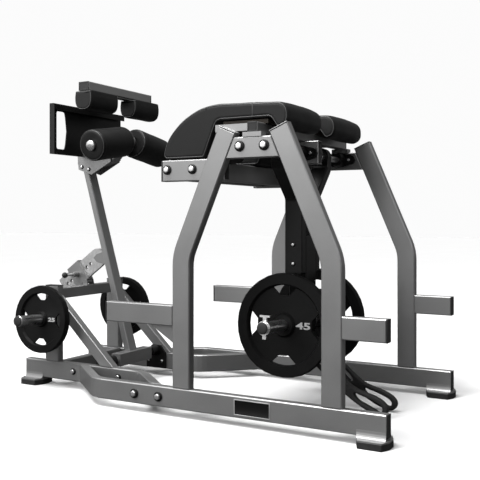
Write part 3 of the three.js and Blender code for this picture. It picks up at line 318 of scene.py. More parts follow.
def deselect_all():
    if bpy.context.object and bpy.context.object.mode != "OBJECT":
        bpy.ops.object.mode_set(mode="OBJECT")
    bpy.ops.object.select_all(action="DESELECT")


def pick(piece):
    deselect_all()
    piece.select_set(True)
    bpy.context.view_layer.objects.active = piece
    return piece


def seat_mesh(piece):
    """Moves the piece's place, turn and size into its mesh."""
    pick(piece)
    bpy.ops.object.transform_apply(location=True, rotation=True, scale=True)
    return piece


def smooth(piece, degrees=35):
    pick(piece)
    bpy.ops.object.shade_smooth_by_angle(angle=math.radians(degrees))
    return piece


def round_edges(piece, width, segments, degrees=30):
    """Bevels the edges where two faces meet at more than the angle."""
    edges = piece.modifiers.new("rounded edges", "BEVEL")
    edges.width = width * MM
    edges.segments = segments
    edges.angle_limit = math.radians(degrees)
    pick(piece)
    bpy.ops.object.modifier_apply(modifier=edges.name)


def merge_points(piece, distance):
    merge = piece.modifiers.new("merge", "WELD")
    merge.merge_threshold = distance * MM
    pick(piece)
    bpy.ops.object.modifier_apply(modifier=merge.name)


def choose_faces(piece, test):
    """Selects the faces that pass a test of their centre and normal, in edit mode."""
    bpy.ops.object.mode_set(mode="EDIT")
    bpy.ops.mesh.select_mode(type="FACE")
    bpy.ops.mesh.select_all(action="DESELECT")
    mesh = bmesh.from_edit_mesh(piece.data)
    for face in mesh.faces:
        if test(face.calc_center_median(), face.normal):
            face.select_set(True)
    bmesh.update_edit_mesh(piece.data)


def coat(piece, finish):
    piece.data.materials.clear()
    piece.data.materials.append(finish.material)
    return piece


def new_piece(name, mesh, finish):
    """Turns a finished bmesh into a smooth piece."""
    data = bpy.data.meshes.new(name)
    mesh.to_mesh(data)
    mesh.free()
    piece = bpy.data.objects.new(name, data)
    bpy.context.collection.objects.link(piece)
    for face in data.polygons:
        face.use_smooth = True
    return coat(piece, finish)


def joined(*pieces):
    """Joins the pieces into the first one."""
    deselect_all()
    for piece in pieces:
        piece.select_set(True)
    bpy.context.view_layer.objects.active = pieces[0]
    bpy.ops.object.join()
    return pieces[0]


def hand_over(piece, name, slot, body, *nodes):
    """Names a finished piece and says which body carries it. The slot, what the piece is made of, is
    not used.
    """
    piece.name = name
    piece.data.name = name
    if nodes:
        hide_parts(*nodes)
    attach(piece, body)
    return piece


def copied(model, matrix):
    """A copy of a modelled piece, with its own mesh moved by the matrix."""
    copy = model.copy()
    copy.data = model.data.copy()
    copy.data.transform(matrix)
    bpy.context.collection.objects.link(copy)
    return copy


def facing(centre, direction):
    """Turns +Z to the direction and moves the origin to the centre."""
    turn = Vector(direction).to_track_quat("Z", "Y").to_matrix().to_4x4()
    return Matrix.Translation(centre) @ turn


def discard(model):
    bpy.data.objects.remove(model, do_unlink=True)


# ---------------------------------------------------------------- bolts and nuts

WASHER_DISH_SHARE, WASHER_RISE_SHARE = 0.18, 0.35
HEAD_CROWN_SHARE, HEAD_CHAMFER_SHARE = 0.16, 0.07
# How high a washer stands under its head, dish and all, in washer heights
WASHER_STAND = 1.3


def washer_and_hex(washer_radius, head_radius, head_height, washer_height=3.0):
    """A dished washer with a chamfered hexagon head on it, standing up from the origin."""
    deselect_all()
    bpy.ops.mesh.primitive_cylinder_add(
        vertices=36, radius=washer_radius * MM, depth=washer_height * MM,
        location=(0, 0, washer_height * MM / 2))
    washer = seat_mesh(bpy.context.object)
    choose_faces(washer, lambda centre, normal: normal.z > 0.9)
    bpy.ops.mesh.inset(thickness=washer_radius * WASHER_DISH_SHARE * MM)
    bpy.ops.transform.translate(value=(0, 0, washer_height * WASHER_RISE_SHARE * MM))
    bpy.ops.object.mode_set(mode="OBJECT")
    round_edges(washer, 0.5, 2, 40)
    deselect_all()
    base = washer_height * WASHER_STAND
    bpy.ops.mesh.primitive_cylinder_add(
        vertices=6, radius=head_radius * MM, depth=head_height * MM,
        location=(0, 0, (base + head_height / 2) * MM))
    head = seat_mesh(bpy.context.object)
    choose_faces(head, lambda centre, normal: normal.z > 0.9)
    bpy.ops.mesh.inset(thickness=head_radius * HEAD_CROWN_SHARE * MM)
    bpy.ops.transform.translate(value=(0, 0, head_height * HEAD_CROWN_SHARE * MM))
    bpy.ops.object.mode_set(mode="OBJECT")
    round_edges(head, head_radius * HEAD_CHAMFER_SHARE, 2, 20)
    coat(washer, FINISHES["black_paint"])
    coat(head, FINISHES["chrome"])
    return smooth(joined(washer, head), 30)


def dome_nut(radius, height, flange):
    """A domed axle cap: a short drum with a rounded crown."""
    deselect_all()
    bpy.ops.mesh.primitive_cylinder_add(
        vertices=48, radius=radius * MM, depth=flange * MM, location=(0, 0, flange * MM / 2))
    cap = seat_mesh(bpy.context.object)
    rings, crown = 5, math.pi / 2.4
    for ring in range(1, rings + 1):
        start, end = (ring - 1) / rings * crown, ring / rings * crown
        top = max(vertex.co.z for vertex in cap.data.vertices)
        choose_faces(cap, lambda centre, normal: normal.z > 0.9 and centre.z > top - 1e-6)
        bpy.ops.mesh.inset(thickness=(math.cos(start) - math.cos(end)) * radius * MM)
        bpy.ops.transform.translate(value=(0, 0, (math.sin(end) - math.sin(start)) * height * MM))
        bpy.ops.object.mode_set(mode="OBJECT")
        pick(cap)
    return coat(smooth(cap, 40), FINISHES["chrome"])


frame_bolt = washer_and_hex(21, 13.5, 8, 3.6)
rail_bolt = washer_and_hex(16, 11, 7)
pivot_bolt = washer_and_hex(22, 14, 8, 4.0)
small_bolt = washer_and_hex(10.5, 7, 5, 2.0)

# Each row: name, model, body, x, distance from the middle plane, z, and 1 where it faces outwards
BOLT_ROWS = [
    ("pocket_bolt_rear", frame_bolt, "frame", -578, 482, 79, 1),
    ("pocket_bolt_front", frame_bolt, "frame", -452, 482, 79, 1),
    ("rail_bolt_rear", rail_bolt, "frame", -1116, 262, 84, 1),
    ("rail_bolt_front", rail_bolt, "frame", -838, 262, 84, 1),
    ("head_bolt_rear", pivot_bolt, "frame", -55, 482, 1126, 1),
    ("head_bolt_front", pivot_bolt, "frame", 55, 482, 1126, 1),
    ("pad_beam_bolt_rear", frame_bolt, "frame", -434, 439.7, 1043.7, 1),
    ("pad_beam_bolt_front", frame_bolt, "frame", -307, 439.7, 1043.7, 1),
    ("bearing_nut_outer_rear", small_bolt, "frame", -55, 425.7, 1126, -1),
    ("bearing_nut_outer_front", small_bolt, "frame", 55, 425.7, 1126, -1),
    ("bearing_nut_inner_rear", small_bolt, "frame", -55, 35.3, 1126, 1),
    ("bearing_nut_inner_front", small_bolt, "frame", 55, 35.3, 1126, 1),
    ("post_bearing_nut_rear", small_bolt, "frame", -998, 207.7, 79.5, -1),
    ("post_bearing_nut_front", small_bolt, "frame", -912, 207.7, 79.5, -1),
    ("horn_nut", rail_bolt, "frame", -1258, 220, 336, -1),
    ("head_plate_bolt_rear", small_bolt, "foot_end", -1252, 38.3, 1106, 1),
    ("head_plate_bolt_front", small_bolt, "foot_end", -1206, 38.3, 1092, 1),
    ("column_bolt_lower", small_bolt, "pendulum", 0, 97, 637, 1),
    ("column_bolt_upper", small_bolt, "pendulum", 0, 97, 721, 1),
]
for bolt_name, model, body, x, y, z, outwards in BOLT_ROWS:
    for side_name, side in SIDES:
        seat = facing(place(x, side * y, z), (0, side * outwards, 0))
        hand_over(copied(model, seat), f"{bolt_name}_{side_name}", "chrome", body)
for model in (frame_bolt, rail_bolt, pivot_bolt, small_bolt):
    discard(model)


# ---------------------------------------------------------------- tube caps and end discs

def tube_cap(low, high, finish, open_axis):
    """A moulded plug on a tube's end: a rounded slab with a slightly raised middle."""
    middle = [(a + b) / 2 for a, b in zip(low, high)]
    deselect_all()
    bpy.ops.mesh.primitive_cube_add(size=1, location=place(*middle))
    cap = bpy.context.object
    cap.scale = [(b - a) * MM for a, b in zip(low, high)]
    seat_mesh(cap)
    round_edges(cap, 1.6, 3)
    outward = Vector([0, 0, 0])
    outward[abs(open_axis) - 1] = math.copysign(1, open_axis)
    choose_faces(cap, lambda centre, normal: normal.dot(outward) > 0.95)
    bpy.ops.mesh.inset(thickness=5 * MM)
    bpy.ops.transform.translate(value=outward * (-0.9 * MM))
    bpy.ops.object.mode_set(mode="OBJECT")
    return coat(smooth(cap), finish)


# Each row: name, body, x span, y span from the middle plane, z span, and the axis that it faces
CAP_ROWS = [
    ("outer_rail_cap", "frame", (554, 558), (440, 482), (36, 123), 1),
    ("inner_rail_cap", "frame", (-1430, -1426), (220, 262), (36, 123), -1),
    ("front_peg_cap", "frame", (554.3, 558.3), (440, 482), (383, 470), 1),
    ("rear_peg_cap", "frame", (-737.3, -733.3), (440, 482), (383, 470), -1),
    ("upright_cap", "frame", (-1300, -1216), (220, 262), (498.3, 502.3), 3),
    ("pad_beam_cap", "frame", (-466.3, -462.3), (398, 439.4), (994, 1084), -1),
    ("cross_beam_cap", "frame", (-21, 21), (478, 482), (1180, 1222), 2),
    ("pad_bar_cap", "foot_end", (-1084, -1022), (256.3, 260.3), (1460, 1504), 2),
]
for cap_name, body, xs, ys, zs, open_axis in CAP_ROWS:
    for side_name, side in SIDES:
        near, far = sorted((side * ys[0], side * ys[1]))
        direction = open_axis * side if abs(open_axis) == 2 else open_axis
        corners = (xs[0], near, zs[0]), (xs[1], far, zs[1])
        cap = tube_cap(*corners, FINISHES["black_plastic"], direction)
        hand_over(cap, f"{cap_name}_{side_name}", "black_plastic", body)

# Welded plates on the leaning legs' tops, each a little above its leg's end
LEG_FOOT = Vector((339, 677))
LEG_TOP = Vector((116, 1195))
LEG_MIDDLE_Y = 461
LEG_CAP_LIFT = 2.2
leg_run = (LEG_TOP - LEG_FOOT).normalized()
for side_name, side in SIDES:
    for place_name, end in (("rear", -1), ("front", 1)):
        cap = tube_cap((-42, -21, -2), (42, 21, 2), FINISHES["frame_paint"], 3)
        cap.data.transform(Matrix.Translation((-PIVOT_X, 0, 0)))
        turn = Matrix.Rotation(math.atan2(end * leg_run.x, leg_run.y), 4, "Y")
        along, up = LEG_TOP.x + LEG_CAP_LIFT * leg_run.x, LEG_TOP.y + LEG_CAP_LIFT * leg_run.y
        middle = place(end * along, side * LEG_MIDDLE_Y, up)
        cap.data.transform(Matrix.Translation(middle) @ turn)
        hand_over(cap, f"leg_cap_{place_name}_{side_name}", "frame_paint", "frame")


def pull_pin():
    """The adjuster's spring pin: a bright stem with a waisted black knob on it."""
    low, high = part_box("pull_pin")
    middle = (low + high) / 2
    stem_radius, knob_radius, waist = 7 * MM, 15 * MM, 7 * MM
    deselect_all()
    bpy.ops.mesh.primitive_cylinder_add(
        vertices=32, radius=stem_radius, depth=high.y - low.y - knob_radius,
        location=(middle.x, (high.y + low.y + knob_radius) / 2, middle.z), rotation=(math.pi / 2, 0, 0))
    stem = seat_mesh(bpy.context.object)
    choose_faces(stem, lambda centre, normal: normal.y > 0.9)
    bpy.ops.mesh.inset(thickness=1.2 * MM)
    bpy.ops.object.mode_set(mode="OBJECT")
    coat(stem, FINISHES["chrome"])
    deselect_all()
    bpy.ops.mesh.primitive_uv_sphere_add(
        segments=40, ring_count=24, radius=knob_radius,
        location=(middle.x, low.y + knob_radius, middle.z), rotation=(math.pi / 2, 0, 0))
    knob = seat_mesh(bpy.context.object)
    knob_end = low.y + 2 * knob_radius
    choose_faces(knob, lambda centre, normal: centre.y > knob_end - 1.5 * MM)
    bpy.ops.mesh.extrude_region_move(TRANSFORM_OT_translate={"value": (0, waist, 0)})
    bpy.ops.object.mode_set(mode="OBJECT")
    coat(knob, FINISHES["black_plastic"])
    return smooth(joined(knob, stem), 40)


hand_over(pull_pin(), "pull_pin_with_knob", "black_plastic", "pull_pin", "pull_pin")


# Dark plugs in the sleeves' ends, and bright domed caps on the roller axles
SLEEVE_TILT = math.radians(3)
SLEEVE_ROOT = (0, 54.7, 371)
HORN_ROOT = (-1258, 262, 336)
ROLLER_TILT = math.radians(9)
ROLLER_HUB = (-980, 0, 1232)
PLUG_ROWS = [
    ("sleeve_plug", "pendulum", SLEEVE_ROOT, 337.2),
    ("horn_plug", "frame", HORN_ROOT, 229.2),
]


def sleeve_direction(side):
    return Vector((0, side * math.cos(SLEEVE_TILT), math.sin(SLEEVE_TILT)))


def axle_direction(side):
    return Vector((0, side * math.cos(ROLLER_TILT), -math.sin(ROLLER_TILT)))


def on_sleeve(root, side, reach):
    """A point on a sleeve's axis, that far out from its root."""
    return place(root[0], side * root[1], root[2]) + sleeve_direction(side) * reach * MM


sleeve_plug = dome_nut(24.6, 5, 2.4)
roller_cap = dome_nut(25, 7, 8)
for side_name, side in SIDES:
    for plug_name, body, root, reach in PLUG_ROWS:
        seat = facing(on_sleeve(root, side, reach), sleeve_direction(side))
        plug = coat(copied(sleeve_plug, seat), FINISHES["black_plastic"])
        hand_over(plug, f"{plug_name}_{side_name}", "black_plastic", body)
    axle = axle_direction(side)
    cap = copied(roller_cap, facing(place(*ROLLER_HUB) + axle * 292.5 * MM, axle))
    hand_over(cap, f"roller_cap_{side_name}", "chrome", "foot_end")
discard(sleeve_plug)
discard(roller_cap)


# ---------------------------------------------------------------- plates: numbers and name plate

def raised_number(words, height, seat):
    """Raised figures, laid flat on a plate with the matrix."""
    size_per_height = 1.4
    deselect_all()
    bpy.ops.object.text_add()
    text = bpy.context.object
    text.data.body = words
    text.data.size = height * MM * size_per_height
    text.data.extrude = 0.8 * MM
    text.data.bevel_depth = 0.25 * MM
    text.data.offset = 0.9 * MM
    text.data.align_x = "CENTER"
    text.data.align_y = "CENTER"
    text.data.resolution_u = 6
    bpy.ops.object.convert(target="MESH")
    figures = bpy.context.object
    merge_points(figures, 0.01)
    figures.data.transform(seat)
    return coat(smooth(figures, 30), NUMBER_PAINT)


# Each row: plate, figures, root of its sleeve, plate's radius and thickness, its start along the
# sleeve, and the figures' height
NUMBER_ROWS = [
    ("plate_45", "45", SLEEVE_ROOT, 225, 40, 110, 28),
    ("plate_25", "25", HORN_ROOT, 166.5, 34, 50, 18),
]
FIGURE_STRETCH = 1.75
FIGURE_RADIUS_SHARE = 0.405
FIGURE_LIFT = 0.3
WEB_SHARE = 0.3
for plate_name, words, root, radius, thick, start, height in NUMBER_ROWS:
    for side_name, side in SIDES:
        outwards = sleeve_direction(side)
        reading = Vector((-side, 0, 0))
        upwards = outwards.cross(reading)
        web_face = start + thick * (1 + WEB_SHARE) / 2 + FIGURE_LIFT
        middle = on_sleeve(root, side, web_face) + reading * radius * FIGURE_RADIUS_SHARE * MM
        turn = Matrix((reading * FIGURE_STRETCH, upwards, outwards)).transposed().to_4x4()
        figures = raised_number(words, height, Matrix.Translation(middle) @ turn)
        name = f"{plate_name}_figures_{side_name}"
        hand_over(figures, name, "plate_iron", f"{plate_name}_{side_name}")


NAME_PLATE_LOW, NAME_PLATE_HIGH = (-81, -484.3, 47), (81, -482.1, 111)


def name_plate():
    """The bare name plate on the near rail: a dark sheet in a bright raised border."""
    low, high = place(*NAME_PLATE_LOW), place(*NAME_PLATE_HIGH)
    centre = (low + high) / 2
    deselect_all()
    bpy.ops.mesh.primitive_cube_add(size=1, location=centre)
    plate = bpy.context.object
    plate.scale = high - low
    seat_mesh(plate)
    choose_faces(plate, lambda centre, normal: normal.y < -0.9)
    bpy.ops.mesh.inset(thickness=3.5 * MM)
    bpy.ops.mesh.extrude_region_move(TRANSFORM_OT_translate={"value": (0, 1.0 * MM, 0)})
    bpy.ops.object.mode_set(mode="OBJECT")
    coat(plate, PLATE_BORDER)
    plate.data.materials.append(FINISHES["black_paint"].material)
    for face in plate.data.polygons:
        offset = face.center - centre
        if face.normal.y < -0.9 and max(abs(offset.x), abs(offset.z)) < 1 * MM:
            face.material_index = 1
    round_edges(plate, 0.5, 2)
    return smooth(plate)


hand_over(name_plate(), "name_plate_bare", "black_paint", "frame")


# ---------------------------------------------------------------- pads

def arc_corner(points, radius, steps):
    """Rounds an outline's corners. Each point may carry its own radius as a third value."""
    path = []
    count = len(points)
    for i, corner in enumerate(points):
        here = Vector(corner[:2])
        bend = corner[2] if len(corner) > 2 else radius
        if bend == 0:
            path.append(here)
            continue
        back = (Vector(points[i - 1][:2]) - here).normalized()
        ahead = (Vector(points[(i + 1) % count][:2]) - here).normalized()
        half = back.angle(ahead) / 2
        reach = bend / math.tan(half)
        centre = here + (back + ahead).normalized() * (bend / math.sin(half))
        first = here + back * reach - centre
        sweep = math.pi - 2 * half
        turn = 1 if first.cross(back) < 0 else -1
        for step in range(steps + 1):
            angle = turn * sweep * step / steps
            path.append(centre + Matrix.Rotation(angle, 2) @ first)
    return path


def evenly(path, step):
    """The closed outline again, with points a near-even distance apart."""
    path = [point for i, point in enumerate(path) if (point - path[i - 1]).length > 0.01]
    count = len(path)
    lengths = [(path[(i + 1) % count] - path[i]).length for i in range(count)]
    whole = sum(lengths)
    total = max(12, round(whole / step))
    spaced = []
    i, done = 0, 0.0
    for k in range(total):
        want = whole * k / total
        while done + lengths[i] < want and i < count - 1:
            done += lengths[i]
            i += 1
        spaced.append(path[i].lerp(path[(i + 1) % count], (want - done) / lengths[i]))
    return spaced


def outline_normals(path):
    count = len(path)
    normals = []
    for i in range(count):
        run = path[(i + 1) % count] - path[i - 1]
        normals.append(Vector((run.y, -run.x)).normalized())
    return normals


def groove(distance, half_width, depth):
    return depth * math.exp(-(distance / half_width) ** 2)


def soft_dent(point, size, depth):
    """Low, slow waves that the foam shows through its cover."""
    return depth * noise.noise(point / (size * MM))


def loft_mesh(name, rings, finish):
    """A closed mesh through rings of points, shut at both ends by a flat panel."""
    mesh = bmesh.new()
    rows = [[mesh.verts.new(point) for point in ring] for ring in rings]
    for one, other in zip(rows, rows[1:]):
        count = len(one)
        for i in range(count):
            j = (i + 1) % count
            mesh.faces.new((one[i], one[j], other[j], other[i]))
    panels = [mesh.faces.new(row) for row in (rows[0], rows[-1])]
    bmesh.ops.recalc_face_normals(mesh, faces=mesh.faces)
    bmesh.ops.triangulate(mesh, faces=panels, ngon_method="BEAUTY")
    piece = new_piece(name, mesh, finish)
    for face in piece.data.polygons:
        face.use_smooth = abs(face.normal.y) < 0.999
    return piece


def piping_mesh(name, path, radius, finish, sides=8):
    """A closed welt cord along a loop of points."""
    rows = []
    count = len(path)
    mesh = bmesh.new()
    for i, point in enumerate(path):
        run = (path[(i + 1) % count] - path[i - 1]).normalized()
        across = Vector((0, 1, 0)).cross(run).normalized()
        up = run.cross(across)
        ring = []
        for k in range(sides):
            angle = 2 * math.pi * k / sides
            offset = across * math.cos(angle) + up * math.sin(angle)
            ring.append(mesh.verts.new(point + offset * radius))
        rows.append(ring)
    for i in range(count):
        one, other = rows[i], rows[(i + 1) % count]
        for k in range(sides):
            j = (k + 1) % sides
            mesh.faces.new((one[k], one[j], other[j], other[k]))
    bmesh.ops.recalc_face_normals(mesh, faces=mesh.faces)
    return new_piece(name, mesh, finish)


HIP_REAR, HIP_FRONT = -482, 130
HIP_BOTTOM, HIP_TOP, HIP_SEAT = 1086, 1321, 1240
HIP_INNER, HIP_OUTER = 69, 417
HIP_CORNER = 26
HIP_SEAM_X = -33
# The hip pads' side outline: shares of the length and the height, and of the usual corner radius
HIP_SHARES = [
    (0.18, 0, 1), (0.36, 0, 1), (0.464, 0.655, 0.8), (0.861, 0.655, 0.8),
    (0.915, 0.443, 1), (1.003, 0.536, 1.7), (0.999, 0.945, 2.1),
    (0.436, 1, 14), (0.297, 0.923, 12), (0.142, 0.698, 11), (0.028, 0.366, 7), (-0.003, 0, 1),
]
hip_corners = []
for along, up, bend in HIP_SHARES:
    x = HIP_REAR + along * (HIP_FRONT - HIP_REAR)
    hip_corners.append((x, HIP_BOTTOM + up * (HIP_TOP - HIP_BOTTOM), bend * HIP_CORNER))
hip_path = evenly(arc_corner(hip_corners, HIP_CORNER, 8), 7.0)


def side_seam(seam_x, y):
    """The welt that closes the seam down a pad's side panel."""
    bottom, top, radius = HIP_SEAT + 14, HIP_TOP - 16, 2.2
    deselect_all()
    bpy.ops.mesh.primitive_cylinder_add(
        vertices=12, radius=radius * MM, depth=(top - bottom) * MM,
        location=place(seam_x, y, (top + bottom) / 2))
    cord = seat_mesh(bpy.context.object)
    round_edges(cord, 1.0, 2, 60)
    return coat(smooth(cord, 50), PIPING)


# Sewn seams, in half width and depth: the stitched groove, the swell beside it, and the groove
# along a pad's side border. The foam's waves are in length and height
SEAM, SEAM_SWELL, BORDER_SEAM = (3.4, 3.2), (26, 1.2), (3.0, 2.0)
LONG_WAVE, SHORT_WAVE = (85, 1.6), (30, 0.5)
WELT_RADIUS = 2.0
PANEL_LIFT = 1.2
COVER_GAP = 1


def padded_block(name, path, low, high, edge, crown, seam_xs, body, node, steps=30):
    """A foam block in vinyl: rounded side borders with piping, a crowned middle and sewn seams."""
    normals = outline_normals(path)
    middle, half = (low + high) / 2, (high - low) / 2
    bulge, turns = 0.9, 6
    stations = []
    for step in range(turns + 1):
        angle = step / turns * math.pi / 2
        y = low + edge * (1 - math.cos(angle)) * bulge
        stations.append((y, edge * (1 - math.sin(angle))))
    for step in range(1, steps):
        stations.append((low + edge + (high - low - 2 * edge) * step / steps, 0))
    for step in range(turns, -1, -1):
        angle = step / turns * math.pi / 2
        y = high - edge * (1 - math.cos(angle)) * bulge
        stations.append((y, edge * (1 - math.sin(angle))))

    def seat_point(point, normal, y, inset):
        along = point.x - normal.x * inset
        for seam_x in seam_xs:
            inset += groove(along - seam_x, *SEAM) - groove(along - seam_x, *SEAM_SWELL)
        spot = place(point.x - normal.x * inset, y, point.y - normal.y * inset)
        dent = soft_dent(spot, *LONG_WAVE) + soft_dent(spot, *SHORT_WAVE)
        spot.x -= normal.x * dent * MM
        spot.z -= normal.y * dent * MM
        return spot

    rings = []
    for y, inset in stations:
        reach = (y - middle) / half
        drawn = inset + crown * reach * reach
        drawn += groove(half - abs(y - middle) - edge * 1.15, *BORDER_SEAM)
        rings.append([seat_point(p, n, y, drawn) for p, n in zip(path, normals)])
    block = loft_mesh(node, rings, FINISHES["pad_vinyl"])
    cords = []
    welt_inset = edge * 0.42 + crown
    for y in (low + edge * 0.16, high - edge * 0.16):
        loop = [place(p.x - n.x * welt_inset, y, p.y - n.y * welt_inset)
                for p, n in zip(path, normals)]
        cords.append(piping_mesh(f"{node}_welt", loop, WELT_RADIUS * MM, PIPING))
    for seam_x in seam_xs:
        cords += [side_seam(seam_x, low + PANEL_LIFT), side_seam(seam_x, high - PANEL_LIFT)]
    whole = joined(block, *cords)
    hand_over(whole, name, "pad_vinyl", body, node)


for side_name, side in SIDES:
    low, high = sorted((side * HIP_INNER, side * HIP_OUTER))
    padded_block(f"hip_cushion_{side_name}", hip_path, low + COVER_GAP, high - COVER_GAP, 16, 5,
                 (HIP_SEAM_X,), "frame", f"hip_pad_{side_name}")

FOOT_PAD_TOP = 1455.3
FOOT_PAD_X, FOOT_PAD_LONG, FOOT_PAD_TALL = -1037.5, 105, 93
FOOT_PAD_INNER, FOOT_PAD_OUTER = 70, 284
SQUARE_SHARE = 0.72
SHOULDER_SHARE = 0.3
foot_pad_points = []
for step in range(41):
    angle = math.pi + math.pi * step / 40
    along = math.copysign(abs(math.cos(angle)) ** SQUARE_SHARE, math.cos(angle))
    down = abs(math.sin(angle)) ** SQUARE_SHARE
    depth = FOOT_PAD_TALL * (SHOULDER_SHARE + (1 - SHOULDER_SHARE) * down)
    foot_pad_points.append(Vector((FOOT_PAD_X + FOOT_PAD_LONG / 2 * along, FOOT_PAD_TOP - depth)))
for end in (1, -1):
    foot_pad_points.append(Vector((FOOT_PAD_X + end * (FOOT_PAD_LONG / 2 - 4), FOOT_PAD_TOP)))
foot_pad_path = evenly(foot_pad_points, 5.0)
for side_name, side in SIDES:
    low, high = sorted((side * FOOT_PAD_INNER, side * FOOT_PAD_OUTER))
    padded_block(f"upper_foot_pad_{side_name}", foot_pad_path, low + COVER_GAP, high - COVER_GAP,
                 13, 0, (), "foot_end", f"upper_pad_{side_name}", 20)


def round_cord(loop_radius, height, radius, segments):
    """A cord round the Z axis, at that height."""
    deselect_all()
    bpy.ops.mesh.primitive_torus_add(
        major_radius=loop_radius, minor_radius=radius, major_segments=segments, minor_segments=8,
        location=(0, 0, height))
    cord = seat_mesh(bpy.context.object)
    for face in cord.data.polygons:
        face.use_smooth = True
    return coat(cord, PIPING)


def foot_roller(side_name, side):
    """A foam roller in a sewn vinyl sleeve, with a seamed end panel at each end."""
    start, length, radius, edge, bore = 42, 248, 76, 15, 12.6
    end = start + length
    around, turns, steps = 72, 8, 40
    profile = [(bore, start + 6), (bore + 8, start + 1.5), (radius * 0.5, start)]
    for step in range(turns + 1):
        angle = step / turns * math.pi / 2
        height = start + edge * (1 - math.cos(angle))
        profile.append((radius - edge * (1 - math.sin(angle)), height))
    for step in range(1, steps):
        profile.append((radius, start + edge + (length - 2 * edge) * step / steps))
    for step in range(turns, -1, -1):
        angle = step / turns * math.pi / 2
        height = end - edge * (1 - math.cos(angle))
        profile.append((radius - edge * (1 - math.sin(angle)), height))
    profile += [(radius * 0.5, end), (bore + 8, end - 1.5), (bore, end - 6)]
    turn = facing(place(*ROLLER_HUB), axle_direction(side))
    mesh = bmesh.new()
    rows = []
    for r, h in profile:
        row = []
        for k in range(around):
            angle = 2 * math.pi * k / around
            spot = Vector((r * math.cos(angle), r * math.sin(angle), h)) * MM
            if r > radius - 2:
                pull = soft_dent(spot, 60, 0.9) + groove(h - start - edge * 1.6, 2.6, 1.6)
                pull += groove(end - edge * 1.6 - h, 2.6, 1.6)
                spot = Vector(((r - pull) * math.cos(angle), (r - pull) * math.sin(angle), h)) * MM
            row.append(mesh.verts.new(turn @ spot))
        rows.append(row)
    rows.append(rows[0])
    for one, other in zip(rows, rows[1:]):
        for k in range(around):
            j = (k + 1) % around
            mesh.faces.new((one[k], one[j], other[j], other[k]))
    bmesh.ops.recalc_face_normals(mesh, faces=mesh.faces)
    roller = new_piece("roller", mesh, FINISHES["pad_vinyl"])
    cords = []
    for h in (start + edge * 0.25, end - edge * 0.25):
        cord = round_cord((radius - edge * 0.33) * MM, h * MM, 1.8 * MM, around)
        cord.data.transform(turn)
        cords.append(cord)
    whole = joined(roller, *cords)
    node = f"foot_roller_{side_name}"
    hand_over(whole, f"foot_roller_cover_{side_name}", "pad_vinyl", node, node)


for side_name, side in SIDES:
    foot_roller(side_name, side)


# ---------------------------------------------------------------- foot straps

STRAP_ROOT = Vector((40, 272))
STRAP_TURN = -math.radians(35.5)
STRAP_LENGTH, STRAP_HEIGHT, STRAP_WIDE = 452, 88, 28
STRAP_Y = 60
STRAP_BORE = 13.2
# Outlines in shares of the strap's length and height, from the strap bar
STRAP_OUTER_SHARES = [
    (0, 0.31), (0.13, 0.26), (0.37, 0.14), (0.56, 0.07), (0.63, 0.1), (0.7, 0.2), (0.78, 0.36),
    (0.86, 0.47), (0.93, 0.49), (0.98, 0.39), (1, 0.16), (0.985, -0.09), (0.93, -0.25),
    (0.85, -0.37), (0.75, -0.45), (0.58, -0.49), (0.35, -0.44), (0.13, -0.35), (0, -0.31),
    (-0.04, -0.22), (-0.058, 0), (-0.04, 0.22),
]
HAND_HOLE_SHARES = [
    (0.1, 0.02), (0.3, -0.03), (0.5, -0.13), (0.52, -0.22), (0.35, -0.22), (0.12, -0.13),
]
FOOT_HOLE_SHARES = [
    (0.655, -0.12), (0.7, -0.02), (0.78, 0.13), (0.86, 0.24), (0.92, 0.26), (0.95, 0.16),
    (0.945, 0), (0.89, -0.09), (0.8, -0.19), (0.69, -0.25),
]


def strap_points(shares):
    turn = Matrix.Rotation(STRAP_TURN, 2)
    return [STRAP_ROOT + turn @ Vector((a * STRAP_LENGTH, b * STRAP_HEIGHT)) for a, b in shares]


def foot_strap(side_name, side):
    """A stiff webbing loop round the strap bar, with a hand hole, a foot hole and sewn borders."""
    rounding = 6
    deselect_all()
    curve = bpy.data.curves.new("strap", "CURVE")
    curve.dimensions = "2D"
    curve.fill_mode = "BOTH"
    curve.bevel_depth = rounding * MM
    curve.bevel_resolution = 4
    curve.offset = -rounding * MM
    curve.extrude = (STRAP_WIDE / 2 - rounding) * MM
    curve.resolution_u = 5
    bar_hole = []
    for step in range(12):
        angle = step * math.pi / 6
        bar_hole.append(STRAP_ROOT + Vector((math.cos(angle), math.sin(angle))) * STRAP_BORE)
    outlines = [strap_points(STRAP_OUTER_SHARES), strap_points(HAND_HOLE_SHARES),
                strap_points(FOOT_HOLE_SHARES), bar_hole]
    for outline in outlines:
        spline = curve.splines.new("BEZIER")
        spline.bezier_points.add(len(outline) - 1)
        spline.use_cyclic_u = True
        for knot, point in zip(spline.bezier_points, outline):
            knot.co = (point.x * MM, point.y * MM, 0)
            knot.handle_left_type = "AUTO"
            knot.handle_right_type = "AUTO"
    loop = bpy.data.objects.new("strap", curve)
    bpy.context.collection.objects.link(loop)
    pick(loop)
    bpy.ops.object.convert(target="MESH")
    strap = bpy.context.object
    merge_points(strap, 0.02)
    across = side * STRAP_Y * MM
    upright = Matrix(((1, 0, 0, PIVOT_X), (0, 0, 1, across), (0, 1, 0, 0), (0, 0, 0, 1)))
    strap.data.transform(upright)
    mesh = bmesh.new()
    mesh.from_mesh(strap.data)
    bmesh.ops.recalc_face_normals(mesh, faces=mesh.faces)
    mesh.to_mesh(strap.data)
    mesh.free()
    coat(smooth(strap, 40), FINISHES["webbing"])
    node = f"strap_{side_name}"
    hand_over(strap, f"foot_strap_{side_name}", "webbing", node, node)


for side_name, side in SIDES:
    foot_strap(side_name, side)


# ---------------------------------------------------------------- floor, light and camera

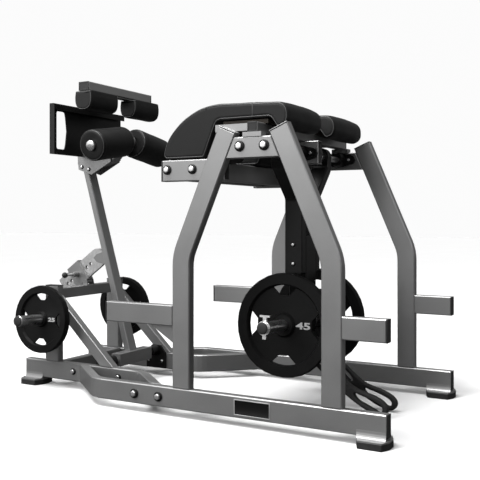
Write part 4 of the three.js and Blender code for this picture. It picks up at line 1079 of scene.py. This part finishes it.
deselect_all()
bpy.ops.mesh.primitive_plane_add(size=60, location=(0, 0, -0.0005))
floor = bpy.context.object
floor.name = "studio_floor"
floor_finish = Finish("pale floor", roughness=0.9, specular=0.1)
seen_floor = floor_finish.blended(floor_finish.grain(900, 2.0), grey(0.86), grey(0.90))
looked_at = floor_finish.node("ShaderNodeLightPath", {}, {}, "Is Camera Ray")
floor_finish.colour(floor_finish.blended(looked_at, grey(0.06), seen_floor))
coat(floor, floor_finish)


class Backdrop(Finish):
    """The studio's surround: white behind the machine, and brightest from one side."""

    def __init__(self, world):
        world.use_nodes = True
        self.tree = world.node_tree
        self.shader = self.tree.nodes["Background"]

    def light_from(self, direction, least, most, seen):
        around = self.node("ShaderNodeTexCoord", {}, {}, "Generated")
        towards = Vector(direction).normalized()
        facing_light = self.node("ShaderNodeVectorMath", {"operation": "DOT_PRODUCT"},
                                 {0: around, 1: towards}, "Value")
        ahead = facing_light.most(0.0)
        lit = ahead * ahead * (most - least) + least
        seen_directly = self.node("ShaderNodeLightPath", {}, {}, "Is Camera Ray")
        strength = lit * (1 - seen_directly) + seen_directly * seen
        self.tree.links.new(strength.socket, self.shader.inputs["Strength"])
        self.shader.inputs["Color"].default_value = (1, 1, 1, 1)


world = bpy.data.worlds.new("studio")
bpy.context.scene.world = world
Backdrop(world).light_from((-0.40, -0.80, 0.45), 0.24, 1.60, 0.97)


def soft_light(name, position, target, size, power):
    lamp = bpy.data.lights.new(name, "AREA")
    lamp.shape = "RECTANGLE"
    lamp.size, lamp.size_y = size
    lamp.energy = power
    light = bpy.data.objects.new(name, lamp)
    bpy.context.collection.objects.link(light)
    light.location = position
    light.rotation_euler = (Vector(target) - Vector(position)).to_track_quat("-Z", "Y").to_euler()


soft_light("key", (-2.2, -4.2, 3.6), (0, 0, 0.6), (2.6, 2.0), 105)
soft_light("fill", (4.6, -1.6, 2.6), (0, 0, 0.9), (2.4, 2.4), 22)
soft_light("top", (-0.2, -0.6, 3.4), (0.6, 0.45, 0.8), (2.0, 2.0), 100)

sun_lamp = bpy.data.lights.new("sun", "SUN")
sun_lamp.energy = 1.9
sun_lamp.angle = math.radians(22)
sun = bpy.data.objects.new("sun", sun_lamp)
bpy.context.collection.objects.link(sun)
sun.rotation_euler = Vector((0.35, 0.45, -1.2)).to_track_quat("-Z", "Y").to_euler()

FRAME_PIXELS = 480
HORIZON_DROP = 22.24
scene = bpy.context.scene
scene.view_settings.view_transform = "Standard"
lens = bpy.data.cameras.new("camera")
lens.lens = 58.4
lens.sensor_width = 36
lens.shift_y = -HORIZON_DROP / FRAME_PIXELS
lens.clip_end = 200
camera = bpy.data.objects.new("camera", lens)
bpy.context.collection.objects.link(camera)
camera.location = (1.9075, -3.1991, 0.8391)
camera.rotation_euler = Vector((-0.489, 0.872, 0)).to_track_quat("-Z", "Y").to_euler()
scene.camera = camera
